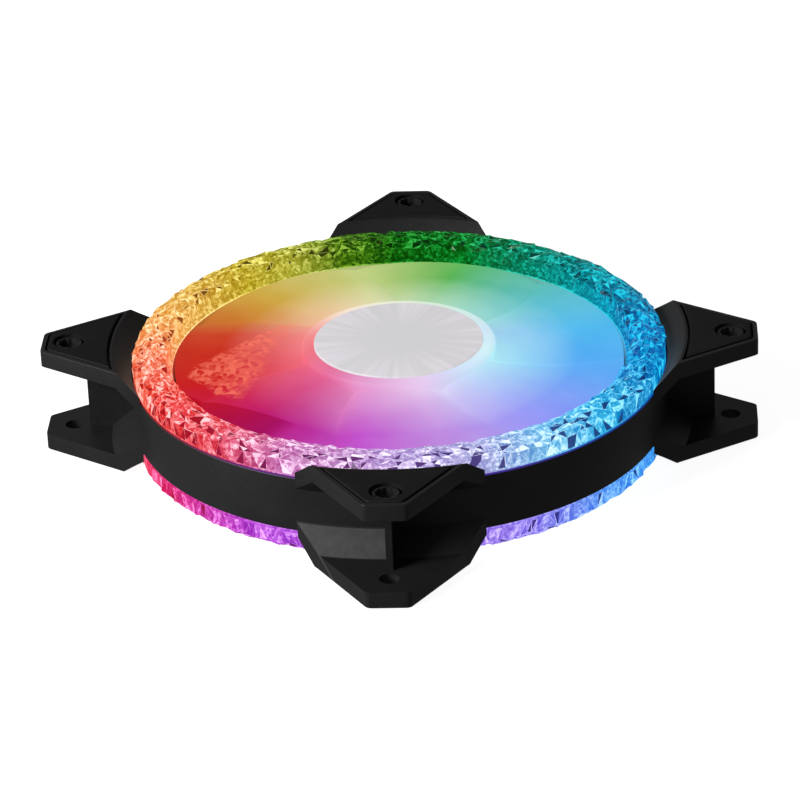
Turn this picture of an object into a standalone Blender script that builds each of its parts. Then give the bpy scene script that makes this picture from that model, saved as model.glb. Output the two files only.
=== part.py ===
"""Case fan, 120 mm square and 25 mm deep, with a faceted crystal ring on each face.

Units are metres. The fan's axis is Z, the rear face lies on z = 0 and +Z points out of the
front (intake) face. Screw holes lie on the two diagonals of X and Y.
"""

import math
import random

import bmesh
import bpy
from mathutils import Matrix, Vector

# Overall size
DEPTH = 0.025
HOLE_PITCH = 0.105
SCREW_RADIUS = 0.0022
GAP = 0.0003
CORNERS = 4
SEGMENTS = 64
SMALL_SEGMENTS = 36
FINE_SEGMENTS = 20
SHARP_ANGLE = math.radians(35)
MERGE = 1e-7

# Frame band: outer wall, duct wall and the web that joins them
BAND_OUT = 0.0600
BAND_IN = 0.0582
BAND_LOW = 0.0061
BAND_HIGH = DEPTH - BAND_LOW
BAND_CHAMFER = 0.0003
WEB_HALF = 0.0006
DUCT_OUT = 0.0524
DUCT_IN = 0.0512
DUCT_HIGH = 0.0188
COLLAR_OUT = 0.0514
COLLAR_IN = 0.0500
COLLAR_LOW = 0.0008
COLLAR_SHELF = 0.0062
COLLAR_STEP = (0.0060, 0.0068)

# Lugs: outline in the plane of a corner, as (distance along the diagonal, distance across it)
LUG_END = (0.0803, 0.0046)
LUG_SHOULDER = (0.06285, 0.0159)
LUG_ROOT = (0.0555, 0.0211)
LUG_INSIDE = (0.0500, 0.0220)
LUG_END_ROUND = 0.0010
LUG_SHOULDER_ROUND = 0.0008
LUG_RIM = 0.0002
LUG_BACK = 0.0040
LUG_CHAMFER = 0.0003
LUG_REACH = 0.0860
LUG_INNER = 0.0590
DISH_RIM = 0.0641
DISH_FOOT = (0.0604, 0.0044)
DISH_WALL = 0.0602
FRONT_FLARE = (0.0164, 0.0645)
REAR_FLARE = (0.0086, 0.0655)
FIN_OUTER = 0.0707
FIN_THICKNESS = 0.00145
FIN_LOW = 0.0030
FIN_FULL = 0.0648
FIN_BAND_LOW = 0.0073

# Corner pads and the recesses that hold them
RECESS_FLOOR = 0.0020
RECESS_MARGIN = 0.0010
RECESS_INNER = 0.0647
PAD_HEIGHT = RECESS_FLOOR - GAP
PAD_MARGIN = 0.0015
PAD_INNER = 0.0653
PAD_HOLE = 0.0033
PAD_ARC_STEPS = 6

# Rear struts
STRUT_INNER = 0.0212
STRUT_OUTER = 0.0507
STRUT_LOW = 0.0010
STRUT_HIGH = 0.0044
STRUT_WIDTH = 0.0034
WIDE_STRUT_WIDTH = 0.0080
STRUT_CHAMFER = 0.0008
CHANNEL_WIDTH = 0.0050
CHANNEL_ROOF = 0.0030
CHANNEL_INNER = 0.0195
CHANNEL_OUTER = 0.0498
RIBBON = (0.0200, 0.0495, 0.0040, 0.0020, 0.0026)

# Motor base
BASE_OUT = 0.0220
BASE_WALL_IN = 0.0208
BASE_LOW = 0.0006
BASE_UNDER = 0.0011
BASE_FLOOR = 0.0026
BASE_RIM = 0.0052
LABEL_SEAT = 0.0184
LABEL_RADIUS = 0.0180
LABEL_THICKNESS = 0.0002
BOSS_OUT = 0.0058
BOSS_IN = 0.0047
BOSS_FLOOR = 0.0019
BOSS_HIGH = 0.0073

# Crystal rings, as front-ring heights; the rear ring mirrors them
RING_FACE = 0.0192
RING_STEADY = ((0.0598, RING_FACE), (0.0518, RING_FACE), (0.0518, 0.0224))
RING_FACETS = (
    (0.0526, 0.0238),
    (0.0542, 0.0245),
    (0.0562, 0.0247),
    (0.0580, 0.0242),
    (0.0592, 0.0230),
    (0.0595, 0.0213),
)
RING_JITTER = 0.00028
RING_TWIST = 0.25

# Light rings in the band's two channels, as front heights
CHANNEL_RING_IN = 0.0528
CHANNEL_RING_OUT = 0.0578
LED_BOARD = (0.0134, 0.0144)
LED_HEIGHTS = (0.0147, 0.0161)
LED_SIZE = 0.0035
LED_RADIUS = 0.0553
LED_COUNT = 8
GUIDE_HEIGHTS = (0.0164, 0.0187)

# Motor electronics
BOARD_IN = 0.0063
BOARD_OUT = 0.0202
BOARD_HEIGHTS = (0.0029, 0.0039)
PART_LOW = 0.0042
HUB_LED_SIZE = 0.0030
HUB_LED_HIGH = 0.0054
HUB_LED_RADIUS = 0.0186
HUB_LED_COUNT = 4
HALL_SIZE = (0.0016, 0.0030, 0.0012)
HALL_RADIUS = 0.0158
CHIP_SIZE = (0.0050, 0.0040, 0.0014)
CHIP_RADIUS = 0.0110
EIGHTH_TURN = math.pi / 4
HALF_TURN = math.pi

# Bearing
TUBE_IN = 0.0037
TUBE_OUT = 0.0044
TUBE_HEIGHTS = (0.0022, 0.0172)
BEARING_IN = 0.00158
BEARING_OUT = 0.0034
BEARING_HEIGHTS = (0.0044, 0.0162)
BEARING_CHAMFER = 0.0004
SEAL_IN = 0.0018
SEAL_HEIGHTS = (0.0165, 0.0171)
THRUST_HEIGHTS = (0.0022, 0.0027)
SHAFT_RADIUS = 0.0015
SHAFT_HEIGHTS = (0.0030, 0.0220)
SHAFT_CHAMFER = 0.0003
GROOVE_RADIUS = 0.0012
GROOVE_HEIGHTS = (0.0035, 0.0042)
WASHER_IN = 0.00135
WASHER_OUT = 0.0028
WASHER_HEIGHTS = (0.0037, 0.0040)
WASHER_SLIT = 0.0005

# Stator
POLES = 4
CORE_HEIGHTS = (0.0090, 0.0140)
CORE_HUB = 0.0070
CORE_BORE = 0.0047
ARM_HALF = 0.0018
SHOE_IN = 0.0146
SHOE_OUT = 0.0166
SHOE_HALF = math.radians(38)
INSULATOR_HEIGHTS = ((0.0076, 0.0087), (0.0143, 0.0154))
INSULATOR_SHOE_OUT = 0.0160
INSULATOR_SHOE_HALF = math.radians(30)
COIL_RADII = (0.0077, 0.0135)
COIL_INNER = (0.0021, 0.0042)
COIL_OUTER = (0.0042, 0.0056)
COIL_ROUND = 0.0014
COIL_CENTRE = 0.0115

# Rotor
HUB_OUT = 0.0218
HUB_IN = 0.0202
HUB_LOW = 0.0062
HUB_PLATE = (0.0207, 0.0229)
HUB_SHOULDER = ((0.0218, 0.0214), (0.0215, 0.0224), (0.0208, 0.0232), (0.0200, 0.0237))
CAP_SEAT = 0.0196
CAP_SEAT_RIM = 0.0238
CAP_RADIUS = 0.0193
CAP_HEIGHTS = (0.0232, 0.0241)
CAP_CHAMFER = 0.0002
BUSH_HOLE = 0.0033
BUSH_OUT = 0.0030
BUSH_IN = 0.0018
BUSH_HEIGHTS = (0.0180, 0.0220)
BUSH_FLANGE = 0.0050
BUSH_FLANGE_HEIGHTS = (0.0196, 0.0204)
YOKE_OUT = 0.0199
YOKE_IN = 0.0191
YOKE_LOW = 0.0072
YOKE_PLATE = (0.0185, 0.0193)
YOKE_ROUND = 0.0006
MAGNET_RADII = (0.0172, 0.0188)
MAGNET_HEIGHTS = (0.0076, 0.0166)

# Blades: each one rises steeply from its trailing edge, then lies almost flat up to its
# leading edge, which leads anticlockwise about +Z and droops over the next blade. A pair
# holds the values at the root and at the tip
BLADES = 7
BLADE_ROOT = 0.0210
BLADE_TIP = 0.0504
BLADE_LOW = 0.0085
BLADE_HIGH = (0.0218, 0.0193)
BLADE_SPREAD = (math.radians(64), math.radians(66))
BLADE_SWEEP = math.radians(12)
SWEEP_POWER = 1.6
CAMBER_POWER = 8.0
BLADE_DROOP = (0.0012, 0.0005)
DROOP_POWER = 12.0
BLADE_THICKNESS = (0.0016, 0.0011)
EDGE_SHARE = 0.35
CHORD_STEPS = 9
CHORD_CROWDING = 1.5
SPAN_STEPS = 4


def clear_scene():
    for obj in list(bpy.data.objects):
        bpy.data.objects.remove(obj, do_unlink=True)


def make_material(name, colour, roughness, metallic=0.0, alpha=1.0, glow=0.0):
    material = bpy.data.materials.new(name)
    material.use_nodes = True
    shader = material.node_tree.nodes["Principled BSDF"]
    shader.inputs["Base Color"].default_value = (*colour, 1.0)
    shader.inputs["Roughness"].default_value = roughness
    shader.inputs["Metallic"].default_value = metallic
    shader.inputs["Alpha"].default_value = alpha
    shader.inputs["Emission Color"].default_value = (*colour, 1.0)
    shader.inputs["Emission Strength"].default_value = glow
    return material


def make_mesh(name, bm, material):
    """Turn a bmesh into a mesh with outward faces, smooth except over sharp edges."""
    bmesh.ops.remove_doubles(bm, verts=bm.verts, dist=MERGE)
    bmesh.ops.recalc_face_normals(bm, faces=bm.faces)
    mesh = bpy.data.meshes.new(name)
    bm.to_mesh(mesh)
    bm.free()
    mesh.shade_smooth()
    mesh.set_sharp_from_angle(angle=SHARP_ANGLE)
    mesh.materials.append(material)
    return mesh


def place(name, mesh, turn=0.0):
    obj = bpy.data.objects.new(name, mesh)
    obj.rotation_euler.z = turn
    bpy.context.scene.collection.objects.link(obj)
    return obj


def add_object(name, bm, material):
    return place(name, make_mesh(name, bm, material))


def combine(obj, operation, helper):
    """Apply a helper solid to an object by an exact Boolean, and keep the helper out of sight."""
    helper.hide_render = True
    helper.display_type = "WIRE"
    modifier = obj.modifiers.new(helper.name, "BOOLEAN")
    modifier.operation = operation
    modifier.solver = "EXACT"
    modifier.object = helper


def flipped(height):
    """The same height measured from the other face."""
    return DEPTH - height


def mirrored(profile):
    return [(radius, flipped(height)) for radius, height in profile]


def turned(bm, profile, segments):
    """Sweep a closed outline of (radius, height) points once round Z."""
    rings = []
    for step in range(segments):
        angle = 2 * math.pi * step / segments
        across = Vector((math.cos(angle), math.sin(angle)))
        rings.append([bm.verts.new((*(across * radius), height)) for radius, height in profile])
    for ring, following in zip(rings, rings[1:] + rings[:1]):
        for here in range(len(profile)):
            ahead = (here + 1) % len(profile)
            if profile[here][0] + profile[ahead][0] > 0:
                bm.faces.new((ring[here], following[here], following[ahead], ring[ahead]))


def add_turned(name, profile, segments, material):
    bm = bmesh.new()
    turned(bm, profile, segments)
    return add_object(name, bm, material)


def tube_profile(inner, outer, heights):
    low, high = heights
    return [(inner, low), (outer, low), (outer, high), (inner, high)]


def stacked(bm, layers, turn=0.0, pose=Matrix()):
    """Join matching outlines, each given as ((x, y) points, height), into one solid."""
    spin = Matrix.Rotation(turn, 4, "Z") @ pose
    loops = [
        [bm.verts.new(spin @ Vector((*point, height))) for point in outline]
        for outline, height in layers
    ]
    for lower, upper in zip(loops, loops[1:]):
        count = len(lower)
        for here in range(count):
            ahead = (here + 1) % count
            bm.faces.new((lower[here], lower[ahead], upper[ahead], upper[here]))
    bm.faces.new(list(reversed(loops[0])))
    bm.faces.new(loops[-1])


def prism(bm, outline, low, high, turn=0.0, pose=Matrix()):
    stacked(bm, [(outline, low), (outline, high)], turn, pose)


def pierced(bm, outline, hole, low, high, turn=None):
    """Solid plate with one hole; turn is an optional matrix that places it."""
    edges = []
    for loop in (outline, hole):
        verts = [bm.verts.new((*point, low)) for point in loop]
        edges += [bm.edges.new(pair) for pair in zip(verts, verts[1:] + verts[:1])]
    filled = bmesh.ops.triangle_fill(bm, use_beauty=True, edges=edges)
    faces = [item for item in filled["geom"] if isinstance(item, bmesh.types.BMFace)]
    raised = bmesh.ops.extrude_face_region(bm, geom=faces, use_keep_orig=True)
    tops = [item for item in raised["geom"] if isinstance(item, bmesh.types.BMVert)]
    bmesh.ops.translate(bm, verts=tops, vec=(0, 0, high - low))
    if turn is not None:
        bmesh.ops.transform(bm, matrix=turn, verts=bm.verts)


def circle(radius, segments, centre=(0.0, 0.0)):
    return [
        (
            centre[0] + radius * math.cos(2 * math.pi * step / segments),
            centre[1] + radius * math.sin(2 * math.pi * step / segments),
        )
        for step in range(segments)
    ]


def rectangle(low_x, high_x, half_y):
    return [(low_x, -half_y), (high_x, -half_y), (high_x, half_y), (low_x, half_y)]


def arc(radius, start, finish, steps):
    return [
        (
            radius * math.cos(start + (finish - start) * step / steps),
            radius * math.sin(start + (finish - start) * step / steps),
        )
        for step in range(steps + 1)
    ]


def round_corner(before, corner, after, radius, steps=2):
    """Points of the arc that rounds one corner of an outline."""
    corner = Vector(corner)
    to_before = (Vector(before) - corner).normalized()
    to_after = (Vector(after) - corner).normalized()
    half = to_before.angle(to_after) / 2
    reach = radius / math.tan(half)
    centre = corner + (to_before + to_after).normalized() * radius / math.sin(half)
    start = corner + to_before * reach
    finish = corner + to_after * reach
    spokes = [start.lerp(finish, step / steps) - centre for step in range(steps + 1)]
    return [tuple(centre + spoke.normalized() * radius) for spoke in spokes]


def inset(outline, distance):
    """Move every edge of an anticlockwise outline inwards."""
    lines = []
    for start, finish in zip(outline, outline[1:] + outline[:1]):
        along = (Vector(finish) - Vector(start)).normalized()
        inward = Vector((-along.y, along.x))
        lines.append((Vector(start) + inward * distance, along))
    moved = []
    for (before, before_along), (point, along) in zip(lines[-1:] + lines[:-1], lines):
        share = (point - before).cross(along) / before_along.cross(along)
        moved.append(tuple(before + before_along * share))
    return moved


def lug_corners(margin):
    """Corners of a lug's outline, anticlockwise, each edge moved in by the margin."""
    half = [LUG_END, LUG_SHOULDER, LUG_ROOT, LUG_INSIDE]
    other_half = [(along, -side) for along, side in reversed(half)]
    return inset(other_half + half, margin)


def lug_outline(margin):
    corners = lug_corners(margin)
    inside, root, shoulder, end = range(4)
    radii = {shoulder: LUG_SHOULDER_ROUND, end: LUG_END_ROUND}
    count = len(corners)
    outline = []
    for index, corner in enumerate(corners):
        kind = min(index, count - 1 - index)
        if kind in (inside, root):
            outline.append(corner)
        else:
            ahead = corners[(index + 1) % count]
            outline += round_corner(corners[index - 1], corner, ahead, radii[kind])
    return outline


def panel_outline(margin, inner_radius):
    """Outline inside a lug's edges that ends in a hollow arc beside the crystal ring."""
    corners = lug_corners(margin)
    end = Vector(corners[4])
    side = Vector(corners[5]) - end
    # The side edge is followed from the lug's end to where it meets the inner arc.
    a = side.dot(side)
    b = 2 * end.dot(side)
    c = end.dot(end) - inner_radius**2
    meeting = end + side * (-b - math.sqrt(b * b - 4 * a * c)) / (2 * a)
    spread = math.atan2(meeting.y, meeting.x)
    bend = arc(inner_radius, spread, -spread, PAD_ARC_STEPS)
    first, second = corners[3], corners[4]
    outline = round_corner(bend[-1], first, second, LUG_END_ROUND)
    outline += round_corner(first, second, bend[0], LUG_END_ROUND)
    return outline + bend


def corner_turns():
    return [EIGHTH_TURN + corner * math.pi / 2 for corner in range(CORNERS)]


def band_profile():
    middle = DEPTH / 2
    low_step, high_step = COLLAR_STEP
    return [
        (BAND_OUT, BAND_LOW + BAND_CHAMFER),
        (BAND_OUT, BAND_HIGH - BAND_CHAMFER),
        (BAND_OUT - BAND_CHAMFER, BAND_HIGH),
        (BAND_IN, BAND_HIGH),
        (BAND_IN, middle + WEB_HALF),
        (DUCT_OUT, middle + WEB_HALF),
        (DUCT_OUT, DUCT_HIGH),
        (DUCT_IN, DUCT_HIGH),
        (DUCT_IN, high_step),
        (COLLAR_IN, low_step),
        (COLLAR_IN, COLLAR_LOW),
        (COLLAR_OUT, COLLAR_LOW),
        (COLLAR_OUT, COLLAR_SHELF),
        (DUCT_OUT, COLLAR_SHELF),
        (DUCT_OUT, middle - WEB_HALF),
        (BAND_IN, middle - WEB_HALF),
        (BAND_IN, BAND_LOW),
        (BAND_OUT - BAND_CHAMFER, BAND_LOW),
    ]


def lug_profile(flare_start, flare_reach):
    """Section through a rear lug: plate, dished cone beside the ring and flare to the band."""
    foot_radius, foot_height = DISH_FOOT
    return [
        (LUG_INNER, flare_start),
        (BAND_OUT, flare_start),
        (flare_reach, LUG_BACK),
        (LUG_REACH, LUG_BACK),
        (LUG_REACH, LUG_RIM),
        (DISH_RIM, LUG_RIM),
        (foot_radius, foot_height),
        (DISH_WALL, foot_height + GAP),
        (DISH_WALL, BAND_LOW + GAP),
        (LUG_INNER, BAND_LOW + GAP),
    ]


def add_lugs(name, profile, rim, inner_end, material):
    """Four lugs of one face: a turned section cut to the lug outline at each corner."""
    lugs = add_turned(name, profile, SEGMENTS, material)
    chamfer_end = rim + math.copysign(LUG_CHAMFER, inner_end - rim)
    layers = [
        (lug_outline(LUG_CHAMFER), rim),
        (lug_outline(0.0), chamfer_end),
        (lug_outline(0.0), inner_end),
    ]
    bm = bmesh.new()
    for turn in corner_turns():
        stacked(bm, layers, turn)
    combine(lugs, "INTERSECT", add_object(name + "_outline", bm, material))
    return lugs


def add_fins(material):
    """Upright ribs on the diagonals; their inner ends stay inside the band and the lugs."""
    lower = [(LUG_INNER, FIN_BAND_LOW), (FIN_FULL, FIN_LOW), (FIN_OUTER, FIN_LOW)]
    outline = lower + mirrored(lower)[::-1]
    upright = Matrix(((1, 0, 0, 0), (0, 0, -1, 0), (0, 1, 0, 0), (0, 0, 0, 1)))
    bm = bmesh.new()
    for turn in corner_turns():
        prism(bm, outline, -FIN_THICKNESS / 2, FIN_THICKNESS / 2, turn, upright)
    return add_object("fins", bm, material)


def add_struts(material):
    """Four rear struts on the diagonals; the first is wide and carries the lead channel."""
    bm = bmesh.new()
    for index, turn in enumerate(corner_turns()):
        width = WIDE_STRUT_WIDTH if index == 0 else STRUT_WIDTH
        low = rectangle(STRUT_INNER, STRUT_OUTER, width / 2)
        top = rectangle(STRUT_INNER, STRUT_OUTER, width / 2 - STRUT_CHAMFER)
        edge = STRUT_HIGH - STRUT_CHAMFER
        stacked(bm, [(low, STRUT_LOW), (low, edge), (top, STRUT_HIGH)], turn)
    return add_object("struts", bm, material)


def add_channel(material):
    bm = bmesh.new()
    outline = rectangle(CHANNEL_INNER, CHANNEL_OUTER, CHANNEL_WIDTH / 2)
    prism(bm, outline, 0.0, CHANNEL_ROOF, EIGHTH_TURN)
    return add_object("lead_channel", bm, material)


def add_recesses(material):
    bm = bmesh.new()
    outline = panel_outline(RECESS_MARGIN, RECESS_INNER)
    for turn in corner_turns():
        prism(bm, outline, -LUG_RIM, RECESS_FLOOR, turn)
        prism(bm, outline, flipped(RECESS_FLOOR), flipped(-LUG_RIM), turn)
    return add_object("pad_recesses", bm, material)


def add_screw_holes(material):
    bm = bmesh.new()
    hole = circle(SCREW_RADIUS, FINE_SEGMENTS, (HOLE_PITCH / math.sqrt(2), 0.0))
    for turn in corner_turns():
        prism(bm, hole, -LUG_BACK, flipped(-LUG_BACK), turn)
    return add_object("screw_holes", bm, material)


def base_profile():
    return [
        (0.0, BASE_UNDER),
        (LABEL_SEAT, BASE_UNDER),
        (LABEL_SEAT, BASE_LOW),
        (BASE_OUT, BASE_LOW),
        (BASE_OUT, BASE_RIM),
        (BASE_WALL_IN, BASE_RIM),
        (BASE_WALL_IN, BASE_FLOOR),
        (BOSS_OUT, BASE_FLOOR),
        (BOSS_OUT, BOSS_HIGH),
        (BOSS_IN, BOSS_HIGH),
        (BOSS_IN, BOSS_FLOOR),
        (0.0, BOSS_FLOOR),
    ]


def add_frame(material):
    frame = add_turned("frame", band_profile(), SEGMENTS, material)
    rear = lug_profile(*REAR_FLARE)
    front_start, front_reach = FRONT_FLARE
    front = mirrored(lug_profile(flipped(front_start), front_reach))
    middle = DEPTH / 2
    front_lugs = add_lugs("front_lugs", front, flipped(LUG_RIM), middle, material)
    rear_lugs = add_lugs("rear_lugs", rear, LUG_RIM, middle, material)
    combine(frame, "UNION", front_lugs)
    combine(frame, "UNION", rear_lugs)
    combine(frame, "UNION", add_fins(material))
    combine(frame, "UNION", add_turned("motor_base", base_profile(), SMALL_SEGMENTS, material))
    combine(frame, "UNION", add_struts(material))
    combine(frame, "DIFFERENCE", add_channel(material))
    combine(frame, "DIFFERENCE", add_recesses(material))
    combine(frame, "DIFFERENCE", add_screw_holes(material))


def add_pads(material):
    outline = panel_outline(PAD_MARGIN, PAD_INNER)
    hole = circle(PAD_HOLE, FINE_SEGMENTS, (HOLE_PITCH / math.sqrt(2), 0.0))
    for face, low in (("rear", 0.0), ("front", DEPTH - PAD_HEIGHT)):
        bm = bmesh.new()
        pierced(bm, outline, hole, low, low + PAD_HEIGHT)
        mesh = make_mesh(face + "_pad", bm, material)
        for index, turn in enumerate(corner_turns()):
            place(f"{face}_pad_{index + 1}", mesh, turn)


def add_crystal_ring(name, front, seed, material):
    """Turned ring whose outer points are pushed off its smooth profile, in triangles."""
    draw = random.Random(seed)
    step_angle = 2 * math.pi / SEGMENTS
    bm = bmesh.new()
    rings = []
    for step in range(SEGMENTS):
        ring = []
        for index, (radius, height) in enumerate(RING_STEADY + RING_FACETS):
            angle = step * step_angle
            if index >= len(RING_STEADY):
                angle += draw.uniform(-RING_TWIST, RING_TWIST) * step_angle
                radius += draw.uniform(-RING_JITTER, RING_JITTER)
                height += draw.uniform(-RING_JITTER, RING_JITTER)
            height = height if front else flipped(height)
            ring.append(bm.verts.new((radius * math.cos(angle), radius * math.sin(angle), height)))
        rings.append(ring)
    count = len(rings[0])
    for ring, following in zip(rings, rings[1:] + rings[:1]):
        for here in range(count):
            ahead = (here + 1) % count
            quad = [ring[here], following[here], following[ahead], ring[ahead]]
            if draw.random() < 0.5:
                quad = quad[1:] + quad[:1]
            bm.faces.new((quad[0], quad[1], quad[2]))
            bm.faces.new((quad[0], quad[2], quad[3]))
    ring_object = add_object(name, bm, material)
    ring_object.data.shade_flat()


def add_light_ring(face, materials):
    """Board, lamps and milky light guide in one of the band's two channels."""
    for name, heights, slot in (
        ("led_board", LED_BOARD, "board"),
        ("light_guide", GUIDE_HEIGHTS, "diffuser"),
    ):
        profile = tube_profile(CHANNEL_RING_IN, CHANNEL_RING_OUT, heights)
        profile = profile if face == "front" else mirrored(profile)
        add_turned(f"{face}_{name}", profile, SMALL_SEGMENTS, materials[slot])
    low, high = LED_HEIGHTS
    if face == "rear":
        low, high = flipped(high), flipped(low)
    half = LED_SIZE / 2
    bm = bmesh.new()
    prism(bm, rectangle(LED_RADIUS - half, LED_RADIUS + half, half), low, high)
    mesh = make_mesh(face + "_led", bm, materials["led"])
    for index in range(LED_COUNT):
        place(f"{face}_led_{index + 1}", mesh, 2 * math.pi * (index + 0.5) / LED_COUNT)


def add_box(name, radius, size, low, turn, material):
    length, width, height = size
    bm = bmesh.new()
    outline = rectangle(radius - length / 2, radius + length / 2, width / 2)
    prism(bm, outline, low, low + height)
    return place(name, make_mesh(name, bm, material), turn)


def add_motor_electronics(materials):
    board = tube_profile(BOARD_IN, BOARD_OUT, BOARD_HEIGHTS)
    add_turned("motor_board", board, SMALL_SEGMENTS, materials["board"])
    add_box("hall_sensor", HALL_RADIUS, HALL_SIZE, PART_LOW, EIGHTH_TURN, materials["chip"])
    chip_turn = EIGHTH_TURN + HALF_TURN
    add_box("driver_chip", CHIP_RADIUS, CHIP_SIZE, PART_LOW, chip_turn, materials["chip"])
    led = (HUB_LED_SIZE, HUB_LED_SIZE, HUB_LED_HIGH - PART_LOW)
    for index in range(HUB_LED_COUNT):
        turn = 2 * math.pi * index / HUB_LED_COUNT
        name = f"hub_led_{index + 1}"
        add_box(name, HUB_LED_RADIUS, led, PART_LOW, turn, materials["led"])
    inner, outer, width, low, high = RIBBON
    size = (outer - inner, width, high - low)
    add_box("led_ribbon", (inner + outer) / 2, size, low, EIGHTH_TURN, materials["ribbon"])
    label = [
        (0.0, BASE_LOW),
        (LABEL_RADIUS, BASE_LOW),
        (LABEL_RADIUS, BASE_LOW + LABEL_THICKNESS),
        (0.0, BASE_LOW + LABEL_THICKNESS),
    ]
    add_turned("rear_label", label, SMALL_SEGMENTS, materials["label"])


def add_bearing(materials):
    tube = tube_profile(TUBE_IN, TUBE_OUT, TUBE_HEIGHTS)
    add_turned("bearing_tube", tube, FINE_SEGMENTS, materials["brass"])
    low, high = BEARING_HEIGHTS
    edge = BEARING_OUT - BEARING_CHAMFER
    bearing = [
        (BEARING_IN, low),
        (edge, low),
        (BEARING_OUT, low + BEARING_CHAMFER),
        (BEARING_OUT, high - BEARING_CHAMFER),
        (edge, high),
        (BEARING_IN, high),
    ]
    add_turned("sleeve_bearing", bearing, FINE_SEGMENTS, materials["bronze"])
    seal = tube_profile(SEAL_IN, BEARING_OUT, SEAL_HEIGHTS)
    add_turned("oil_seal_ring", seal, FINE_SEGMENTS, materials["insulator"])
    low, high = THRUST_HEIGHTS
    pad = [(0.0, low), (BEARING_OUT, low), (BEARING_OUT, high), (0.0, high)]
    add_turned("thrust_pad", pad, FINE_SEGMENTS, materials["insulator"])


def pole_outline(shoe_out, shoe_half):
    """Four arms with curved shoes round a hub, seen along the axis."""
    outline = []
    root = math.asin(ARM_HALF / CORE_HUB)
    neck = math.asin(ARM_HALF / SHOE_IN)
    pitch = 2 * math.pi / POLES
    for pole in range(POLES):
        middle = pole * pitch
        outline += arc(SHOE_IN, middle - neck, middle - shoe_half, 3)
        outline += arc(shoe_out, middle - shoe_half, middle + shoe_half, 8)
        outline += arc(SHOE_IN, middle + shoe_half, middle + neck, 3)
        outline += arc(CORE_HUB, middle + root, middle + pitch - root, 4)
    return outline


def add_stator(materials):
    bore = circle(CORE_BORE, FINE_SEGMENTS)
    bm = bmesh.new()
    pierced(bm, pole_outline(SHOE_OUT, SHOE_HALF), bore, *CORE_HEIGHTS)
    add_object("stator_core", bm, materials["core"])
    outline = pole_outline(INSULATOR_SHOE_OUT, INSULATOR_SHOE_HALF)
    for name, heights in zip(("lower", "upper"), INSULATOR_HEIGHTS):
        bm = bmesh.new()
        pierced(bm, outline, bore, *heights)
        add_object("stator_insulator_" + name, bm, materials["insulator"])
    add_coils(materials["copper"])


def add_coils(material):
    """One winding round each stator arm; its section is a rounded frame."""
    half_width, half_height = COIL_OUTER
    corners = rectangle(-half_width, half_width, half_height)
    outline = []
    for index, corner in enumerate(corners):
        ahead = corners[(index + 1) % len(corners)]
        outline += round_corner(corners[index - 1], corner, ahead, COIL_ROUND)
    inner_width, inner_height = COIL_INNER
    hole = rectangle(-inner_width, inner_width, inner_height)
    stand_up = Matrix(((0, 0, 1, 0), (1, 0, 0, 0), (0, 1, 0, COIL_CENTRE), (0, 0, 0, 1)))
    bm = bmesh.new()
    pierced(bm, outline, hole, *COIL_RADII, turn=stand_up)
    mesh = make_mesh("coil", bm, material)
    for index in range(POLES):
        place(f"coil_{index + 1}", mesh, 2 * math.pi * index / POLES)


def hub_profile():
    plate_low, plate_high = HUB_PLATE
    return [
        (HUB_OUT, HUB_LOW),
        *HUB_SHOULDER,
        (CAP_SEAT, CAP_SEAT_RIM),
        (CAP_SEAT, plate_high),
        (BUSH_HOLE, plate_high),
        (BUSH_HOLE, plate_low),
        (HUB_IN, plate_low),
        (HUB_IN, HUB_LOW),
    ]


def between(pair, share):
    return pair[0] + (pair[1] - pair[0]) * share


def blade_section(share):
    """Points of the blade's upper and lower face at a share of its span, root to tip."""
    radius = between((BLADE_ROOT, BLADE_TIP), share)
    spread = between(BLADE_SPREAD, share)
    climb = between(BLADE_HIGH, share) - BLADE_LOW
    droop = between(BLADE_DROOP, share)
    thickness = between(BLADE_THICKNESS, share)
    upper, lower = [], []
    for step in range(CHORD_STEPS + 1):
        along = (step / CHORD_STEPS) ** CHORD_CROWDING
        angle = BLADE_SWEEP * share**SWEEP_POWER + spread * (along - 0.5)
        rise = 1 - (1 - along) ** CAMBER_POWER
        height = BLADE_LOW + climb * rise - droop * along**DROOP_POWER
        half = thickness / 2 * (EDGE_SHARE + (1 - EDGE_SHARE) * math.sin(math.pi * along))
        spot = (radius * math.cos(angle), radius * math.sin(angle))
        upper.append((*spot, height + half))
        lower.append((*spot, height - half))
    return upper + lower[::-1]


def add_blade(bm, turn):
    spin = Matrix.Rotation(turn, 4, "Z")
    loops = [
        [bm.verts.new(spin @ Vector(point)) for point in blade_section(step / SPAN_STEPS)]
        for step in range(SPAN_STEPS + 1)
    ]
    count = len(loops[0])
    for inner, outer in zip(loops, loops[1:]):
        for here in range(count):
            ahead = (here + 1) % count
            bm.faces.new((inner[here], inner[ahead], outer[ahead], outer[here]))
    for loop in (loops[0], loops[-1]):
        for here in range(CHORD_STEPS):
            bm.faces.new((loop[here], loop[here + 1], loop[count - 2 - here], loop[count - 1 - here]))


def add_impeller(material):
    impeller = add_turned("impeller", hub_profile(), SMALL_SEGMENTS, material)
    bm = bmesh.new()
    for blade in range(BLADES):
        add_blade(bm, 2 * math.pi * blade / BLADES)
    combine(impeller, "UNION", add_object("blades", bm, material))
    return impeller


def add_shaft(material):
    low, high = SHAFT_HEIGHTS
    groove_low, groove_high = GROOVE_HEIGHTS
    tip = SHAFT_RADIUS - SHAFT_CHAMFER
    profile = [
        (0.0, low),
        (tip, low),
        (SHAFT_RADIUS, low + SHAFT_CHAMFER),
        (SHAFT_RADIUS, groove_low),
        (GROOVE_RADIUS, groove_low),
        (GROOVE_RADIUS, groove_high),
        (SHAFT_RADIUS, groove_high),
        (SHAFT_RADIUS, high - SHAFT_CHAMFER),
        (tip, high),
        (0.0, high),
    ]
    return add_turned("shaft", profile, FINE_SEGMENTS, material)


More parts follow.
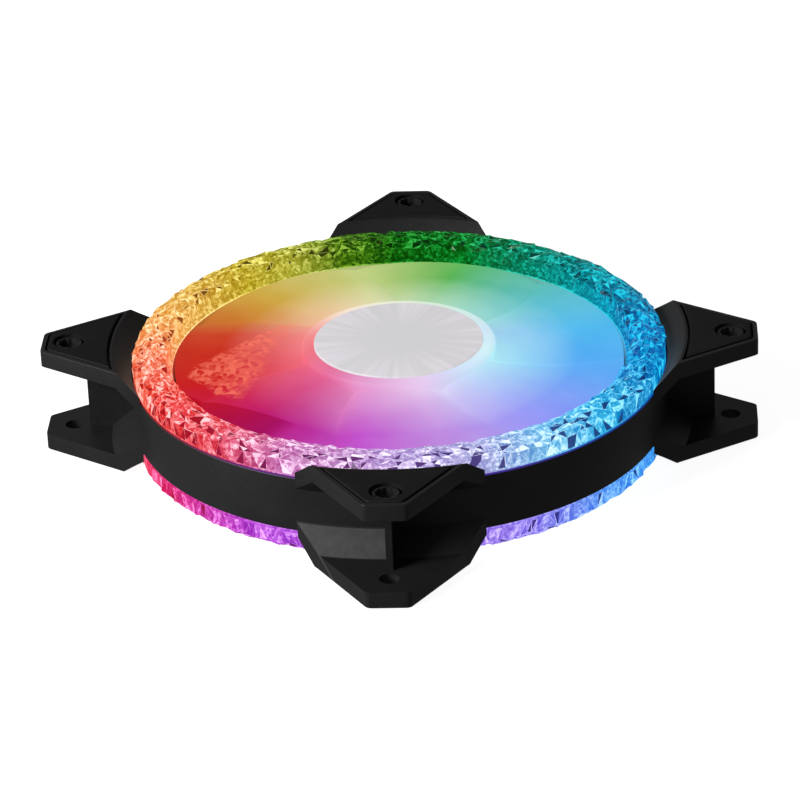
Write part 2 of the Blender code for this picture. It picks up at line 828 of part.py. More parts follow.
def add_retaining_ring(material):
    """Split washer that snaps into the shaft's groove."""
    slit = math.asin(WASHER_SLIT / WASHER_OUT)
    inner_slit = math.asin(WASHER_SLIT / WASHER_IN)
    outline = arc(WASHER_OUT, slit, 2 * math.pi - slit, FINE_SEGMENTS)
    outline += arc(WASHER_IN, 2 * math.pi - inner_slit, inner_slit, FINE_SEGMENTS)
    bm = bmesh.new()
    prism(bm, outline, *WASHER_HEIGHTS)
    return add_object("retaining_ring", bm, material)


def add_rotor(materials):
    """Everything that turns, parented to an empty on the axis."""
    low, high = CAP_HEIGHTS
    cap = [
        (0.0, low),
        (CAP_RADIUS, low),
        (CAP_RADIUS, high - CAP_CHAMFER),
        (CAP_RADIUS - CAP_CHAMFER, high),
        (0.0, high),
    ]
    flange_low, flange_high = BUSH_FLANGE_HEIGHTS
    bush = [
        (BUSH_IN, BUSH_HEIGHTS[0]),
        (BUSH_OUT, BUSH_HEIGHTS[0]),
        (BUSH_OUT, flange_low),
        (BUSH_FLANGE, flange_low),
        (BUSH_FLANGE, flange_high),
        (BUSH_OUT, flange_high),
        (BUSH_OUT, BUSH_HEIGHTS[1]),
        (BUSH_IN, BUSH_HEIGHTS[1]),
    ]
    plate_low, plate_high = YOKE_PLATE
    yoke = [
        (YOKE_OUT, YOKE_LOW),
        (YOKE_OUT, plate_high - YOKE_ROUND),
        (YOKE_OUT - YOKE_ROUND, plate_high),
        (BUSH_HOLE, plate_high),
        (BUSH_HOLE, plate_low),
        (YOKE_IN, plate_low),
        (YOKE_IN, YOKE_LOW),
    ]
    magnet = tube_profile(*MAGNET_RADII, MAGNET_HEIGHTS)
    pieces = [
        add_impeller(materials["impeller"]),
        add_turned("hub_cap", cap, SMALL_SEGMENTS, materials["cap"]),
        add_turned("rotor_bush", bush, FINE_SEGMENTS, materials["brass"]),
        add_turned("rotor_yoke", yoke, SMALL_SEGMENTS, materials["steel"]),
        add_turned("magnet_ring", magnet, SMALL_SEGMENTS, materials["magnet"]),
        add_shaft(materials["shaft"]),
        add_retaining_ring(materials["steel"]),
    ]
    axis = bpy.data.objects.new("fan_spin_axis", None)
    bpy.context.scene.collection.objects.link(axis)
    for piece in pieces:
        piece.parent = axis


def make_materials():
    return {
        "frame": make_material("frame_plastic", (0.018, 0.018, 0.019), 0.55),
        "pad": make_material("pad_rubber", (0.011, 0.011, 0.012), 0.75),
        "crystal": make_material("crystal", (0.85, 0.88, 0.95), 0.08, alpha=0.6, glow=0.3),
        "diffuser": make_material("diffuser", (0.90, 0.90, 0.92), 0.45, glow=0.5),
        "board": make_material("board", (0.75, 0.76, 0.74), 0.40),
        "led": make_material("led", (0.95, 0.95, 0.85), 0.25, glow=2.0),
        "chip": make_material("chip", (0.020, 0.020, 0.022), 0.50),
        "ribbon": make_material("ribbon", (0.030, 0.030, 0.032), 0.60),
        "label": make_material("label", (0.62, 0.63, 0.65), 0.35),
        "brass": make_material("brass", (0.72, 0.50, 0.20), 0.30, metallic=1.0),
        "bronze": make_material("bearing_bronze", (0.50, 0.33, 0.17), 0.45, metallic=1.0),
        "copper": make_material("copper", (0.72, 0.30, 0.14), 0.35, metallic=1.0),
        "core": make_material("core_steel", (0.35, 0.36, 0.38), 0.45, metallic=1.0),
        "steel": make_material("steel", (0.55, 0.56, 0.58), 0.35, metallic=1.0),
        "shaft": make_material("shaft_steel", (0.70, 0.71, 0.73), 0.15, metallic=1.0),
        "insulator": make_material("insulator", (0.85, 0.84, 0.80), 0.50),
        "magnet": make_material("magnet", (0.050, 0.045, 0.042), 0.65),
        "impeller": make_material("impeller", (0.80, 0.82, 0.88), 0.40, alpha=0.8, glow=0.2),
        "cap": make_material("hub_cap", (0.62, 0.61, 0.63), 0.35),
    }


def main():
    clear_scene()
    materials = make_materials()
    add_frame(materials["frame"])
    add_pads(materials["pad"])
    add_crystal_ring("front_crystal_ring", True, 11, materials["crystal"])
    add_crystal_ring("rear_crystal_ring", False, 23, materials["crystal"])
    for face in ("front", "rear"):
        add_light_ring(face, materials)
    add_motor_electronics(materials)
    add_bearing(materials)
    add_stator(materials)
    add_rotor(materials)


main()
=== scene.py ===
"""Looks of the case fan: fine shells, cut-crystal rings, a lit impeller and every surface finish.

Lengths are metres. Z is the fan's axis, the rear face lies on z = 0 and the front face is up.
Directions round the axis are degrees from +X, anticlockwise seen from the front.
"""

import math
import random

import bmesh
import bpy
from mathutils import Matrix, Vector


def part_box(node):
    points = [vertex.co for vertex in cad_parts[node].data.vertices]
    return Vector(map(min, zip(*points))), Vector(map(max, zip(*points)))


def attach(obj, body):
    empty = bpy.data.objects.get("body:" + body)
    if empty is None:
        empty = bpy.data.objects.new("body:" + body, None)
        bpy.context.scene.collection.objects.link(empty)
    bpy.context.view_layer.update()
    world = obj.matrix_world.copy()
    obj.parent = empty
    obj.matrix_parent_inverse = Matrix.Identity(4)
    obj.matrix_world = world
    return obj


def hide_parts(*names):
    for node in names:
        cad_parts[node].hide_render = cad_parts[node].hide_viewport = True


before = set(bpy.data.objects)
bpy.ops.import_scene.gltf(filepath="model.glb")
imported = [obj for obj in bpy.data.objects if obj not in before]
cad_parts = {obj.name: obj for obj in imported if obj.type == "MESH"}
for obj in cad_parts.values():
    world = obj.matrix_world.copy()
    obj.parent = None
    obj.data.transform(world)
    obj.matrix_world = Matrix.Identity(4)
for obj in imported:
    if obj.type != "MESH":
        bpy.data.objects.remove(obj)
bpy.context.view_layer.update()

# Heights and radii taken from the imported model
FRAME_LOW, FRAME_HIGH = (corner.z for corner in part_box("frame"))
RING_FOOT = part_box("front_crystal_ring")[0].z
RING_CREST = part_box("front_crystal_ring")[1].z
HUB_LOW, HUB_TOP = (corner.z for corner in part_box("impeller"))
CAP_LOW, CAP_TOP = (corner.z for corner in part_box("hub_cap"))
PAD_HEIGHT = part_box("rear_pad_1")[1].z
DEPTH = FRAME_LOW + FRAME_HIGH

# Camera
VIEW_AZIMUTH = math.radians(48.084)
VIEW_ELEVATION = math.radians(26.658)
VIEW_ROLL = math.radians(-2.313)
VIEW_DISTANCE = 0.9603
VIEW_OFFSET = (0.00008, 0.00332)
VIEW_LENS = 191.7
SENSOR = 36.0

# Fineness of round shapes
BAND_SEGMENTS = 240
TURN_SEGMENTS = 120
HOLE_SEGMENTS = 40
ROUND_STEPS = 4
SMOOTH_ANGLE = math.radians(32)
MERGE = 1e-7
HELPER = "helper"

# Middle range of a noise, and a narrower one for more contrast
NOISE_SPREAD = (0.3, 0.7)
NOISE_NARROW = (0.35, 0.65)
BLACK = (0.0, 0.0, 0.0, 1.0)
WHITE = (1.0, 1.0, 1.0, 1.0)

# Frame band, as in the solid model
BAND_OUT = 0.0600
BAND_IN = 0.0582
BAND_LOW = 0.0061
BAND_ROUND = 0.0003
WEB_HALF = 0.0006
DUCT_OUT = 0.0524
DUCT_IN = 0.0512
DUCT_HIGH = 0.0188
COLLAR_OUT = 0.0514
COLLAR_IN = 0.0500
COLLAR_LOW = 0.0008
COLLAR_SHELF = 0.0062
COLLAR_STEP = (0.0060, 0.0068)

# Lugs: outline as (distance along the diagonal, distance across it)
LUG_END = (0.0803, 0.0046)
LUG_SHOULDER = (0.06285, 0.0159)
LUG_ROOT = (0.0555, 0.0211)
LUG_INSIDE = (0.0500, 0.0220)
LUG_END_ROUND = 0.0016
LUG_SHOULDER_ROUND = 0.0010
LUG_BACK = 0.0040
LUG_EDGE = 0.00022
LUG_REACH = 0.0860
LUG_INNER = 0.0590
DISH_RIM = 0.0641
DISH_FOOT = (0.0604, 0.0044)
DISH_WALL = 0.0602
DISH_ROUND = 0.0006
FRONT_FLARE = (0.0164, 0.0645)
REAR_FLARE = (0.0086, 0.0655)
GAP = 0.0003
CORNERS = 4
EIGHTH_TURN = math.pi / 4
HOLE_PITCH = 0.105
HOLE_DISTANCE = HOLE_PITCH / math.sqrt(2)
SCREW_RADIUS = 0.0022
FIN_OUTER = 0.0707
FIN_THICKNESS = 0.00145
FIN_LOW = 0.0030
FIN_FULL = 0.0648
FIN_BAND_LOW = 0.0073

# Ring light painted on the frame's edges, and one stretch of a rear flare painted lighter as if
# lit from the side, in degrees and turns
EDGE_GLOW = 0.00018
BAND_GLOW = 0.6
BAND_GLOW_DEPTH = 2.2
FLARE_LIGHT_TURNS = (-80.0, -45.5)
FLARE_LIGHT_FADE = (0.01, 0.001)
FLARE_LIGHT_COLOUR = (0.25, 0.25, 0.252)

# Corner pads
RECESS_FLOOR = 0.0020
RECESS_MARGIN = 0.0010
RECESS_INNER = 0.0647
PAD_MARGIN = 0.0015
PAD_INNER = 0.0653
PAD_HOLE = 0.0036
PAD_EDGE = 0.0003
PAD_ARC_STEPS = 16
BOSS_RING_OUT = 0.0029
BOSS_RING_DROP = 0.0003
BOSS_RIBS = 9
BOSS_RIB_DEPTH = 0.00025

# Rear struts, motor base, label and coils
STRUT_INNER = 0.0212
STRUT_OUTER = 0.0507
STRUT_LOW = 0.0010
STRUT_HIGH = 0.0044
STRUT_WIDTH = 0.0034
WIDE_STRUT_WIDTH = 0.0080
STRUT_ROUND = 0.0008
CHANNEL_WIDTH = 0.0050
CHANNEL_ROOF = 0.0030
CHANNEL_INNER = 0.0195
CHANNEL_OUTER = 0.0498
BASE_OUT = 0.0220
BASE_WALL_IN = 0.0208
BASE_LOW = 0.0006
BASE_UNDER = 0.0011
BASE_FLOOR = 0.0026
BASE_RIM = 0.0052
BASE_ROUND = 0.0004
LABEL_SEAT = 0.0184
LABEL_RIM = (0.0166, 0.0169)
WIRE_PITCH = 0.00035
BOSS_OUT = 0.0058
BOSS_IN = 0.0047
BOSS_FLOOR = 0.0019
BOSS_HIGH = 0.0073

# Crystal rings
RING_FINENESS = {"front": (192, 9), "rear": (264, 12)}
RING_JITTER = {"front": 0.00038, "rear": 0.00030}
RING_TWIST = 0.48
RING_OUTER = 0.0597
RING_INNER = 0.0519
RING_LIP = 0.0510
RING_OUTSET = 0.0001
RING_RIM = 0.0004
RING_LEDGES = (0.0012, 0.00035)
RING_SWELL = (0.10, 0.84)
RING_FULLNESS = (0.38, 0.62)
RING_EDGE_LINE = 0.00008
RING_EDGE_SHARE = 0.30
RING_SEEDS = {"front": 11, "rear": 23}

# How pale a facet is, 0 deep and 1 white: a level of its own, and smaller shards inside it. These
# levels are painted light and shade of the cut glass: white facets are painted glints, the
# darkest are painted shade
FACET_WEIGHT = 0.84
SHARD_WEIGHT = 0.36
LEVEL_DROP = 0.14
PALE_GAMMA = 0.72
MOST_GAIN = 1.6
PALEST_TURN = -60.0
SHADED_FACET_TURNS = (-135.0, 40.0)
SHADED_FACET_SHARES = {"gathered": 0.16, "outer": 0.05, "middle": 0.03, "inner": 0.10}
OUTER_SHARE = 0.40
INNER_SHARE = 0.85
WHITE_FROM = 0.94
FACET_SPREAD = (0.18, 0.92, 0.55)
FOOT_FACET = 0.50
LIP_FACET = 0.95
PLAIN_FACET = 0.60
EDGE_LINE_FACET = 0.80

# Rotor
HUB_OUT = 0.0218
HUB_IN = 0.0202
HUB_PLATE = (0.0207, 0.0229)
HUB_SHOULDER = ((0.0218, 0.0222), (0.0217, 0.0229), (0.0214, 0.0234), (0.0208, 0.0237))
CAP_SEAT = 0.01925
CAP_RADIUS = 0.0190
CAP_EDGE = 0.0003
CAP_PLAIN_RADIUS = 0.0035
HUB_GLOW_TURN = 100.0
BUSH_HOLE = 0.0033
BLADES = 7
BLADE_ROOT = 0.0210
BLADE_TIP = 0.0504
BLADE_LOW = 0.0085
BLADE_HIGH = (0.0218, 0.0193)
BLADE_SPREAD = (math.radians(65.5), math.radians(67.5))
BLADE_SWEEP = math.radians(12)
SWEEP_POWER = 1.6
CAMBER_POWER = 8.0
BLADE_DROOP = (0.00145, 0.0009)
DROOP_POWER = 12.0
BLADE_THICKNESS = (0.0016, 0.0011)
EDGE_SHARE = 0.35
CHORD_STEPS = 36
CHORD_CROWDING = 1.5
SPAN_STEPS = 14
RIM_LIGHT_WIDTH = 0.010

# Light round the rings and the impeller: direction in degrees, then sRGB colour
FRONT_RING_LIGHT = (
    (-180, 0.78, 0.71, 0.26),
    (-150, 0.94, 0.76, 0.48),
    (-130, 0.95, 0.60, 0.46),
    (-105, 0.93, 0.42, 0.40),
    (-85, 0.91, 0.46, 0.52),
    (-68, 0.83, 0.58, 0.77),
    (-45, 0.80, 0.72, 0.88),
    (-25, 0.75, 0.76, 0.90),
    (-10, 0.60, 0.82, 0.94),
    (5, 0.36, 0.78, 0.92),
    (30, 0.04, 0.60, 0.81),
    (50, 0.03, 0.58, 0.78),
    (75, 0.03, 0.62, 0.70),
    (100, 0.06, 0.60, 0.52),
    (120, 0.04, 0.52, 0.19),
    (138, 0.07, 0.44, 0.07),
    (152, 0.36, 0.52, 0.09),
    (165, 0.74, 0.74, 0.34),
)
REAR_RING_LIGHT = (
    (-180, 0.88, 0.52, 0.24),
    (-150, 0.92, 0.22, 0.28),
    (-120, 0.91, 0.17, 0.33),
    (-100, 0.86, 0.23, 0.54),
    (-75, 0.74, 0.36, 0.84),
    (-45, 0.70, 0.48, 0.91),
    (-15, 0.62, 0.56, 0.93),
    (5, 0.42, 0.66, 0.95),
    (30, 0.22, 0.64, 0.94),
    (60, 0.10, 0.62, 0.85),
    (90, 0.10, 0.65, 0.70),
    (120, 0.12, 0.60, 0.35),
    (150, 0.50, 0.62, 0.22),
)
# Colours of the facets painted in shade, by direction
RING_SHADED_FACETS = (
    (-180, 0.28, 0.20, 0.05),
    (-150, 0.50, 0.22, 0.08),
    (-120, 0.66, 0.08, 0.08),
    (-90, 0.60, 0.05, 0.16),
    (-65, 0.36, 0.08, 0.32),
    (-30, 0.24, 0.12, 0.42),
    (5, 0.10, 0.13, 0.40),
    (45, 0.02, 0.22, 0.38),
    (90, 0.02, 0.27, 0.28),
    (130, 0.02, 0.19, 0.05),
    (152, 0.16, 0.22, 0.03),
)
DISC_RIM_LIGHT = (
    (-180, 0.81, 0.67, 0.28),
    (-150, 0.80, 0.27, 0.15),
    (-120, 0.80, 0.13, 0.13),
    (-105, 0.80, 0.13, 0.31),
    (-90, 0.76, 0.12, 0.44),
    (-72, 0.74, 0.20, 0.62),
    (-55, 0.76, 0.33, 0.80),
    (-30, 0.76, 0.57, 0.88),
    (0, 0.60, 0.62, 0.96),
    (30, 0.40, 0.67, 0.96),
    (60, 0.34, 0.74, 0.94),
    (90, 0.41, 0.77, 0.79),
    (120, 0.38, 0.72, 0.36),
    (150, 0.78, 0.82, 0.53),
)
DISC_ROOT_LIGHT = (
    (-180, 0.94, 0.79, 0.66),
    (-150, 0.94, 0.55, 0.54),
    (-120, 0.92, 0.43, 0.50),
    (-90, 0.89, 0.43, 0.62),
    (-60, 0.88, 0.62, 0.82),
    (-30, 0.90, 0.79, 0.93),
    (0, 0.77, 0.86, 0.97),
    (30, 0.69, 0.92, 0.96),
    (60, 0.67, 0.84, 0.94),
    (90, 0.66, 0.88, 0.84),
    (120, 0.72, 0.86, 0.72),
    (150, 0.89, 0.88, 0.72),
)

# Soft-edged lines, as (degrees of the outward direction, distance from the axis, softness):
# the shade where one blade dips under the next, and the patch where the gloss mirrors the ring
OVERLAP_LINES = ((100.8, -0.0403, 0.0003), (0.0, 0.0085, 0.0030))
GLINT_LINES = (
    (180.0, 0.0300, 0.0006),
    (30.0, -0.0270, 0.0022),
    (-92.0, 0.0412, 0.0008),
    (-150.0, 0.0437, 0.0008),
)
GLINT_RAGGED = 0.0020
GLINT_COLOUR = (0.98, 0.47, 0.38)

# Studio
FLOOR_HALF = 4.0
FLOOR_DROP = 0.0001
FLOOR_TONES = (0.33, 0.36)
FLOOR_LIGHT = 0.92
KEY_POWER = 19.0
KEY_SIZE = 0.5
KEY_PLACE = Vector((-0.20, -0.98, 0.50))
KEY_AIM = Vector((0.0, 0.0, 0.01))
ROOM_LIGHT = 0.20
CLIP = (0.01, 20.0)


def linear(colour):
    """Linear RGBA of an sRGB colour."""
    parts = [c / 12.92 if c <= 0.04045 else ((c + 0.055) / 1.055) ** 2.4 for c in colour]
    return (*parts, 1.0)


def flipped(height):
    """The same height measured from the other face."""
    return DEPTH - height


def between(pair, share):
    """Point at a share of the way from the first of a pair to the second."""
    return pair[0] + (pair[1] - pair[0]) * share


def mirrored(profile):
    return [(radius, flipped(height)) for radius, height in profile]


# ---- Shader building -------------------------------------------------------------------


def feed(tree, socket, value):
    """Link a socket or set its value."""
    if isinstance(value, bpy.types.NodeSocket):
        tree.links.new(value, socket)
    else:
        socket.default_value = value


def add_node(tree, kind, inputs=(), **settings):
    made = tree.nodes.new("ShaderNode" + kind)
    for name, value in settings.items():
        setattr(made, name, value)
    for name, value in dict(inputs).items():
        feed(tree, made.inputs[name], value)
    return made


def maths(tree, operation, *values):
    return add_node(tree, "Math", enumerate(values), operation=operation).outputs[0]


def product(tree, first, *others):
    for other in others:
        first = maths(tree, "MULTIPLY", first, other)
    return first


def remap(tree, value, from_low, from_high, to_low, to_high, kind="LINEAR"):
    names = ("Value", "From Min", "From Max", "To Min", "To Max")
    inputs = dict(zip(names, (value, from_low, from_high, to_low, to_high)))
    made = add_node(tree, "MapRange", inputs, clamp=True, interpolation_type=kind)
    return made.outputs["Result"]


def rise(tree, value, start, finish):
    """0 up to the start, 1 from the finish on."""
    return remap(tree, value, start, finish, 0.0, 1.0)


def fall(tree, value, start, finish):
    """1 up to the start, 0 from the finish on."""
    return remap(tree, value, start, finish, 1.0, 0.0)


def stretch(tree, value, low, high, spread=NOISE_SPREAD):
    """Turn the middle range of a noise into low to high."""
    return remap(tree, value, *spread, low, high)


def mix_colours(tree, share, first, second):
    made = tree.nodes.new("ShaderNodeMix")
    made.data_type = "RGBA"
    feed(tree, made.inputs[0], share)
    feed(tree, made.inputs[6], first)
    feed(tree, made.inputs[7], second)
    return made.outputs[2]


def two_tone(tree, share, first, second):
    """Mix of two sRGB colours."""
    return mix_colours(tree, share, linear(first), linear(second))


def gamma(tree, colour, power):
    """Deeper where the power is above 1, paler below it."""
    return add_node(tree, "Gamma", {"Color": colour, "Gamma": power}).outputs["Color"]


def object_place(tree):
    return add_node(tree, "TexCoord").outputs["Object"]


def room_place(tree):
    """Place in the room, so that what is painted by it doesn't turn with the rotor."""
    return add_node(tree, "NewGeometry").outputs["Position"]


def split(tree, place):
    return add_node(tree, "SeparateXYZ", {"Vector": place}).outputs


def joined(tree, x, y=0.0):
    return add_node(tree, "CombineXYZ", {"X": x, "Y": y}).outputs[0]


def noise(tree, scale, detail=3.0, roughness=0.55, place=None):
    inputs = {"Scale": scale, "Detail": detail, "Roughness": roughness}
    made = add_node(tree, "TexNoise", inputs)
    feed(tree, made.inputs["Vector"], place or object_place(tree))
    return made.outputs["Fac"]


def cells(tree, scale, feature="F1", place=None):
    made = add_node(tree, "TexVoronoi", {"Scale": scale}, feature=feature)
    feed(tree, made.inputs["Vector"], place or object_place(tree))
    return made.outputs


def flecks(tree, scale, place=None):
    """One random level for each cell."""
    colour = cells(tree, scale, place=place)["Color"]
    return add_node(tree, "SeparateColor", {"Color": colour}).outputs[0]


def around_axis(tree, place):
    """Angle about Z, distance from Z and height of a place."""
    parts = split(tree, place)
    angle = maths(tree, "ARCTAN2", parts["Y"], parts["X"])
    flat = joined(tree, parts["X"], parts["Y"])
    radius = add_node(tree, "VectorMath", {0: flat}, operation="LENGTH").outputs["Value"]
    return angle, radius, parts["Z"]


def polar(tree):
    """Turn about the axis as 0 to 1 from -X, distance from the axis, and height, in the room."""
    angle, radius, height = around_axis(tree, room_place(tree))
    return maths(tree, "MULTIPLY_ADD", angle, 0.5 / math.pi, 0.5), radius, height


def towards(tree, turn, degrees):
    """1 at a direction round the axis, falling to -1 opposite it."""
    phase = math.pi + math.radians(degrees)
    return maths(tree, "COSINE", maths(tree, "MULTIPLY_ADD", turn, 2 * math.pi, -phase))


def light_ramp(tree, turn, stops):
    """Colour by direction; the first stop, at -180 degrees, closes the round at 180 too."""
    made = add_node(tree, "ValToRGB", {"Fac": turn})
    ramp = made.color_ramp
    while len(ramp.elements) > 1:
        ramp.elements.remove(ramp.elements[-1])
    for index, (degrees, *colour) in enumerate((*stops, (180, *stops[0][1:]))):
        position = degrees / 360 + 0.5
        stop = ramp.elements[0] if index == 0 else ramp.elements.new(position)
        stop.position = position
        stop.color = linear(colour)
    return made.outputs["Color"]


def new_material(name, **values):
    """Material with one Principled shader; keywords set its sockets, spaces written as _."""
    material = bpy.data.materials.new(name)
    material.use_nodes = True
    shader = material.node_tree.nodes["Principled BSDF"]
    for key, value in values.items():
        shader.inputs[key.replace("_", " ")].default_value = value
    return material, material.node_tree, shader.inputs


def texture(tree, sockets, roughness, relief, depth, colour=None):
    """Uneven gloss, a relief of the given depth and, unless it glows, the colour."""
    if colour:
        feed(tree, sockets["Base Color"], colour)
    feed(tree, sockets["Roughness"], roughness)
    raised = add_node(tree, "Bump", {"Height": relief, "Distance": depth})
    feed(tree, sockets["Normal"], raised.outputs["Normal"])


def glow(tree, sockets, colour, strength, darkness=0.0):
    """Light given off in a colour; the surface below it is the same colour, darkened."""
    surface = mix_colours(tree, darkness, colour, BLACK) if darkness else colour
    feed(tree, sockets["Base Color"], surface)
    feed(tree, sockets["Emission Color"], colour)
    sockets["Emission Strength"].default_value = strength


# ---- Materials -------------------------------------------------------------------------


def moulded_plastic(name, dark, light, rough, specular=0.3):
    """Fine spark-eroded moulding: two-tone colour, uneven gloss and a fine grain."""
    material, tree, sockets = new_material(name, Specular_IOR_Level=specular)
    broad = stretch(tree, noise(tree, 60.0, 4.0), 0.0, 1.0)
    fine = noise(tree, 2600.0, 2.0)
    speck = stretch(tree, fine, 0.0, 1.0, NOISE_NARROW)
    tone = maths(tree, "MULTIPLY_ADD", speck, 0.45, maths(tree, "MULTIPLY", broad, 0.55))
    colour = two_tone(tree, tone, dark, light)
    gloss = remap(tree, tone, 0.0, 1.0, rough - 0.07, rough + 0.07)
    texture(tree, sockets, gloss, fine, 0.000012, colour)
    return material


def painted_flare_light(tree, turn, radius, height):
    """Share of painted light on the slope between a rear lug and the band: one stretch painted
    lighter as if lit from the side.
    """
    flare_start, flare_reach = REAR_FLARE
    slope = (flare_start - LUG_BACK) / (flare_reach - BAND_OUT)
    level = maths(tree, "MULTIPLY_ADD", radius, slope, height)
    off_flare = maths(tree, "SUBTRACT", level, flare_start + slope * BAND_OUT)
    off_flare = maths(tree, "ABSOLUTE", off_flare)
    on_flare = fall(tree, off_flare, EDGE_GLOW, 2 * EDGE_GLOW)
    clear_of_band = rise(tree, radius, BAND_OUT + EDGE_GLOW, BAND_OUT + 2 * EDGE_GLOW)
    start, finish = (0.5 + degrees / 360 for degrees in FLARE_LIGHT_TURNS)
    after = rise(tree, turn, start - FLARE_LIGHT_FADE[0], start)
    before = fall(tree, turn, finish, finish + FLARE_LIGHT_FADE[1])
    grain = stretch(tree, noise(tree, 420.0, 4.0, 0.7), 0.7, 1.0, NOISE_NARROW)
    return product(tree, on_flare, clear_of_band, after, before, grain)


def frame_material():
    """Black moulded frame, with the rings' light painted on as glow at the band's edges and in
    the duct.
    """
    material = moulded_plastic(
        "frame_black", (0.085, 0.085, 0.086), (0.12, 0.12, 0.121), 0.46, specular=0.2
    )
    tree = material.node_tree
    sockets = tree.nodes["Principled BSDF"].inputs
    turn, radius, height = polar(tree)
    smooth_black = sockets["Base Color"].links[0].from_socket
    # Painted light: one stretch of a rear flare is mixed towards a lighter grey, as if lit from
    # the side
    wear_and_painted_light = painted_flare_light(tree, turn, radius, height)
    feed(tree, sockets["Base Color"], mix_colours(tree, wear_and_painted_light, smooth_black, linear(FLARE_LIGHT_COLOUR)))

    # Painted glow of ring light on the band's edges and in the duct above the web
    middle = DEPTH / 2
    band_edge = middle - BAND_LOW
    away = maths(tree, "ABSOLUTE", maths(tree, "SUBTRACT", height, middle))
    on_band = remap(tree, away, band_edge - EDGE_GLOW, band_edge, 0.0, BAND_GLOW)
    by_band = fall(tree, radius, BAND_OUT, BAND_OUT + EDGE_GLOW)
    past_duct = rise(tree, radius, BAND_IN - EDGE_GLOW, BAND_IN)
    band_glow = product(tree, on_band, by_band, past_duct)
    in_duct = fall(tree, radius, DUCT_OUT, DUCT_OUT + EDGE_GLOW)
    above_web = rise(tree, height, middle, DUCT_HIGH)
    duct_glow = product(tree, in_duct, above_web)
    deep = gamma(tree, light_ramp(tree, turn, REAR_RING_LIGHT), BAND_GLOW_DEPTH)
    painted_ring_glow = mix_colours(tree, band_glow, BLACK, deep)
    painted_ring_glow = mix_colours(tree, duct_glow, painted_ring_glow, light_ramp(tree, turn, DISC_RIM_LIGHT))
    feed(tree, sockets["Emission Color"], painted_ring_glow)
    sockets["Emission Strength"].default_value = 0.8
    return material


def metal(name, colour, wear_and_painted_light, rough, along=(1.0, 1.0, 1.0)):
    """Machined metal: scratches drawn out along one axis, over a slow change of tone."""
    material, tree, sockets = new_material(name, Metallic=1.0)
    stretched = add_node(tree, "Mapping", {"Vector": object_place(tree), "Scale": along})
    scratches = noise(tree, 1400.0, 5.0, 0.7, stretched.outputs[0])
    tone = stretch(tree, noise(tree, 180.0), 0.0, 1.0, NOISE_NARROW)
    gloss = stretch(tree, scratches, rough - 0.08, rough + 0.12)
    texture(tree, sockets, gloss, scratches, 0.00001, two_tone(tree, tone, colour, wear_and_painted_light))
    return material


def crystal_material(name, stops, deepest, whitest):
    """Lit crystal painted as glow: each facet turns the light's colour deeper or paler, as
    painted light and shade of the cut glass.
    """
    material, tree, sockets = new_material(
        name, Roughness=0.18, IOR=1.45, Specular_IOR_Level=0.12
    )
    turn = polar(tree)[0]
    facet = add_node(tree, "Attribute", attribute_name="facet").outputs["Fac"]
    shard = flecks(tree, 1500.0)
    broad = maths(tree, "MULTIPLY_ADD", facet, FACET_WEIGHT, -LEVEL_DROP)
    level = maths(tree, "MULTIPLY_ADD", shard, SHARD_WEIGHT, broad)

    depth = remap(tree, level, 0.0, 0.8, deepest, PALE_GAMMA)
    shaded = gamma(tree, light_ramp(tree, turn, stops), depth)
    gain = remap(tree, level, 0.45, 1.0, 1.0, MOST_GAIN)
    lifted = add_node(tree, "VectorMath", {0: shaded, "Scale": gain}, operation="SCALE")
    # Painted glints: pale facets turn white, most on one side of the ring
    palest = remap(tree, towards(tree, turn, PALEST_TURN), 0.0, 0.9, 0.0, whitest)
    spark = product(tree, rise(tree, level, 0.60, 1.0), palest)
    colour = mix_colours(tree, spark, lifted.outputs[0], WHITE)
    # Painted shade: the darkest facets take their own deep colours by direction
    shaded_facet = remap(tree, facet, 0.04, 0.12, 0.8, 0.0)
    colour = mix_colours(tree, shaded_facet, colour, light_ramp(tree, turn, RING_SHADED_FACETS))
    glow(tree, sockets, colour, 0.97, darkness=0.94)
    return material


def diffuser_material():
    """Milky light guide, lit by the same colours as the ring above it."""
    material, tree, sockets = new_material("diffuser_milky", Roughness=0.45)
    hue = light_ramp(tree, polar(tree)[0], FRONT_RING_LIGHT)
    cloud = stretch(tree, noise(tree, 400.0), 0.75, 1.0)
    glow(tree, sockets, gamma(tree, mix_colours(tree, 0.35, hue, WHITE), cloud), 0.9)
    return material


def beside_lines(tree, lines, ragged=0.0):
    """1 inside all the lines, each (direction, offset, softness) on the plane of the blades."""
    place = room_place(tree)
    parts = split(tree, place)
    inside = 1.0
    for degrees, offset, softness in lines:
        angle = math.radians(degrees)
        along = maths(tree, "MULTIPLY", parts["X"], math.cos(angle))
        along = maths(tree, "MULTIPLY_ADD", parts["Y"], math.sin(angle), along)
        if ragged:
            rough_edge = noise(tree, 260.0, 3.0, 0.6, place)
            along = maths(tree, "MULTIPLY_ADD", rough_edge, ragged, along)
        share = remap(tree, along, offset - softness, offset + softness, 1.0, 0.0, "SMOOTHSTEP")
        inside = maths(tree, "MULTIPLY", inside, share)
    return inside


def glint_mask(tree):
    """Patch of small bright cells: the cut ring mirrored in the gloss of the blades."""
    level = remap(tree, flecks(tree, 900.0, room_place(tree)), 0.15, 1.0, 0.05, 0.80)
    return product(tree, beside_lines(tree, GLINT_LINES, GLINT_RAGGED), level)


def painted_hub_glow(tree, turn, radius, height):
    """Share of painted white glow on the hub's shoulder, strongest on one side."""
    on_hub = remap(tree, radius, HUB_OUT, HUB_OUT + GAP, 0.40, 0.0)
    on_top = rise(tree, height, HUB_SHOULDER[0][1], HUB_SHOULDER[-1][1])
    side = remap(tree, towards(tree, turn, HUB_GLOW_TURN), -0.45, 0.35, 0.12, 1.0)
    return product(tree, on_hub, on_top, side)


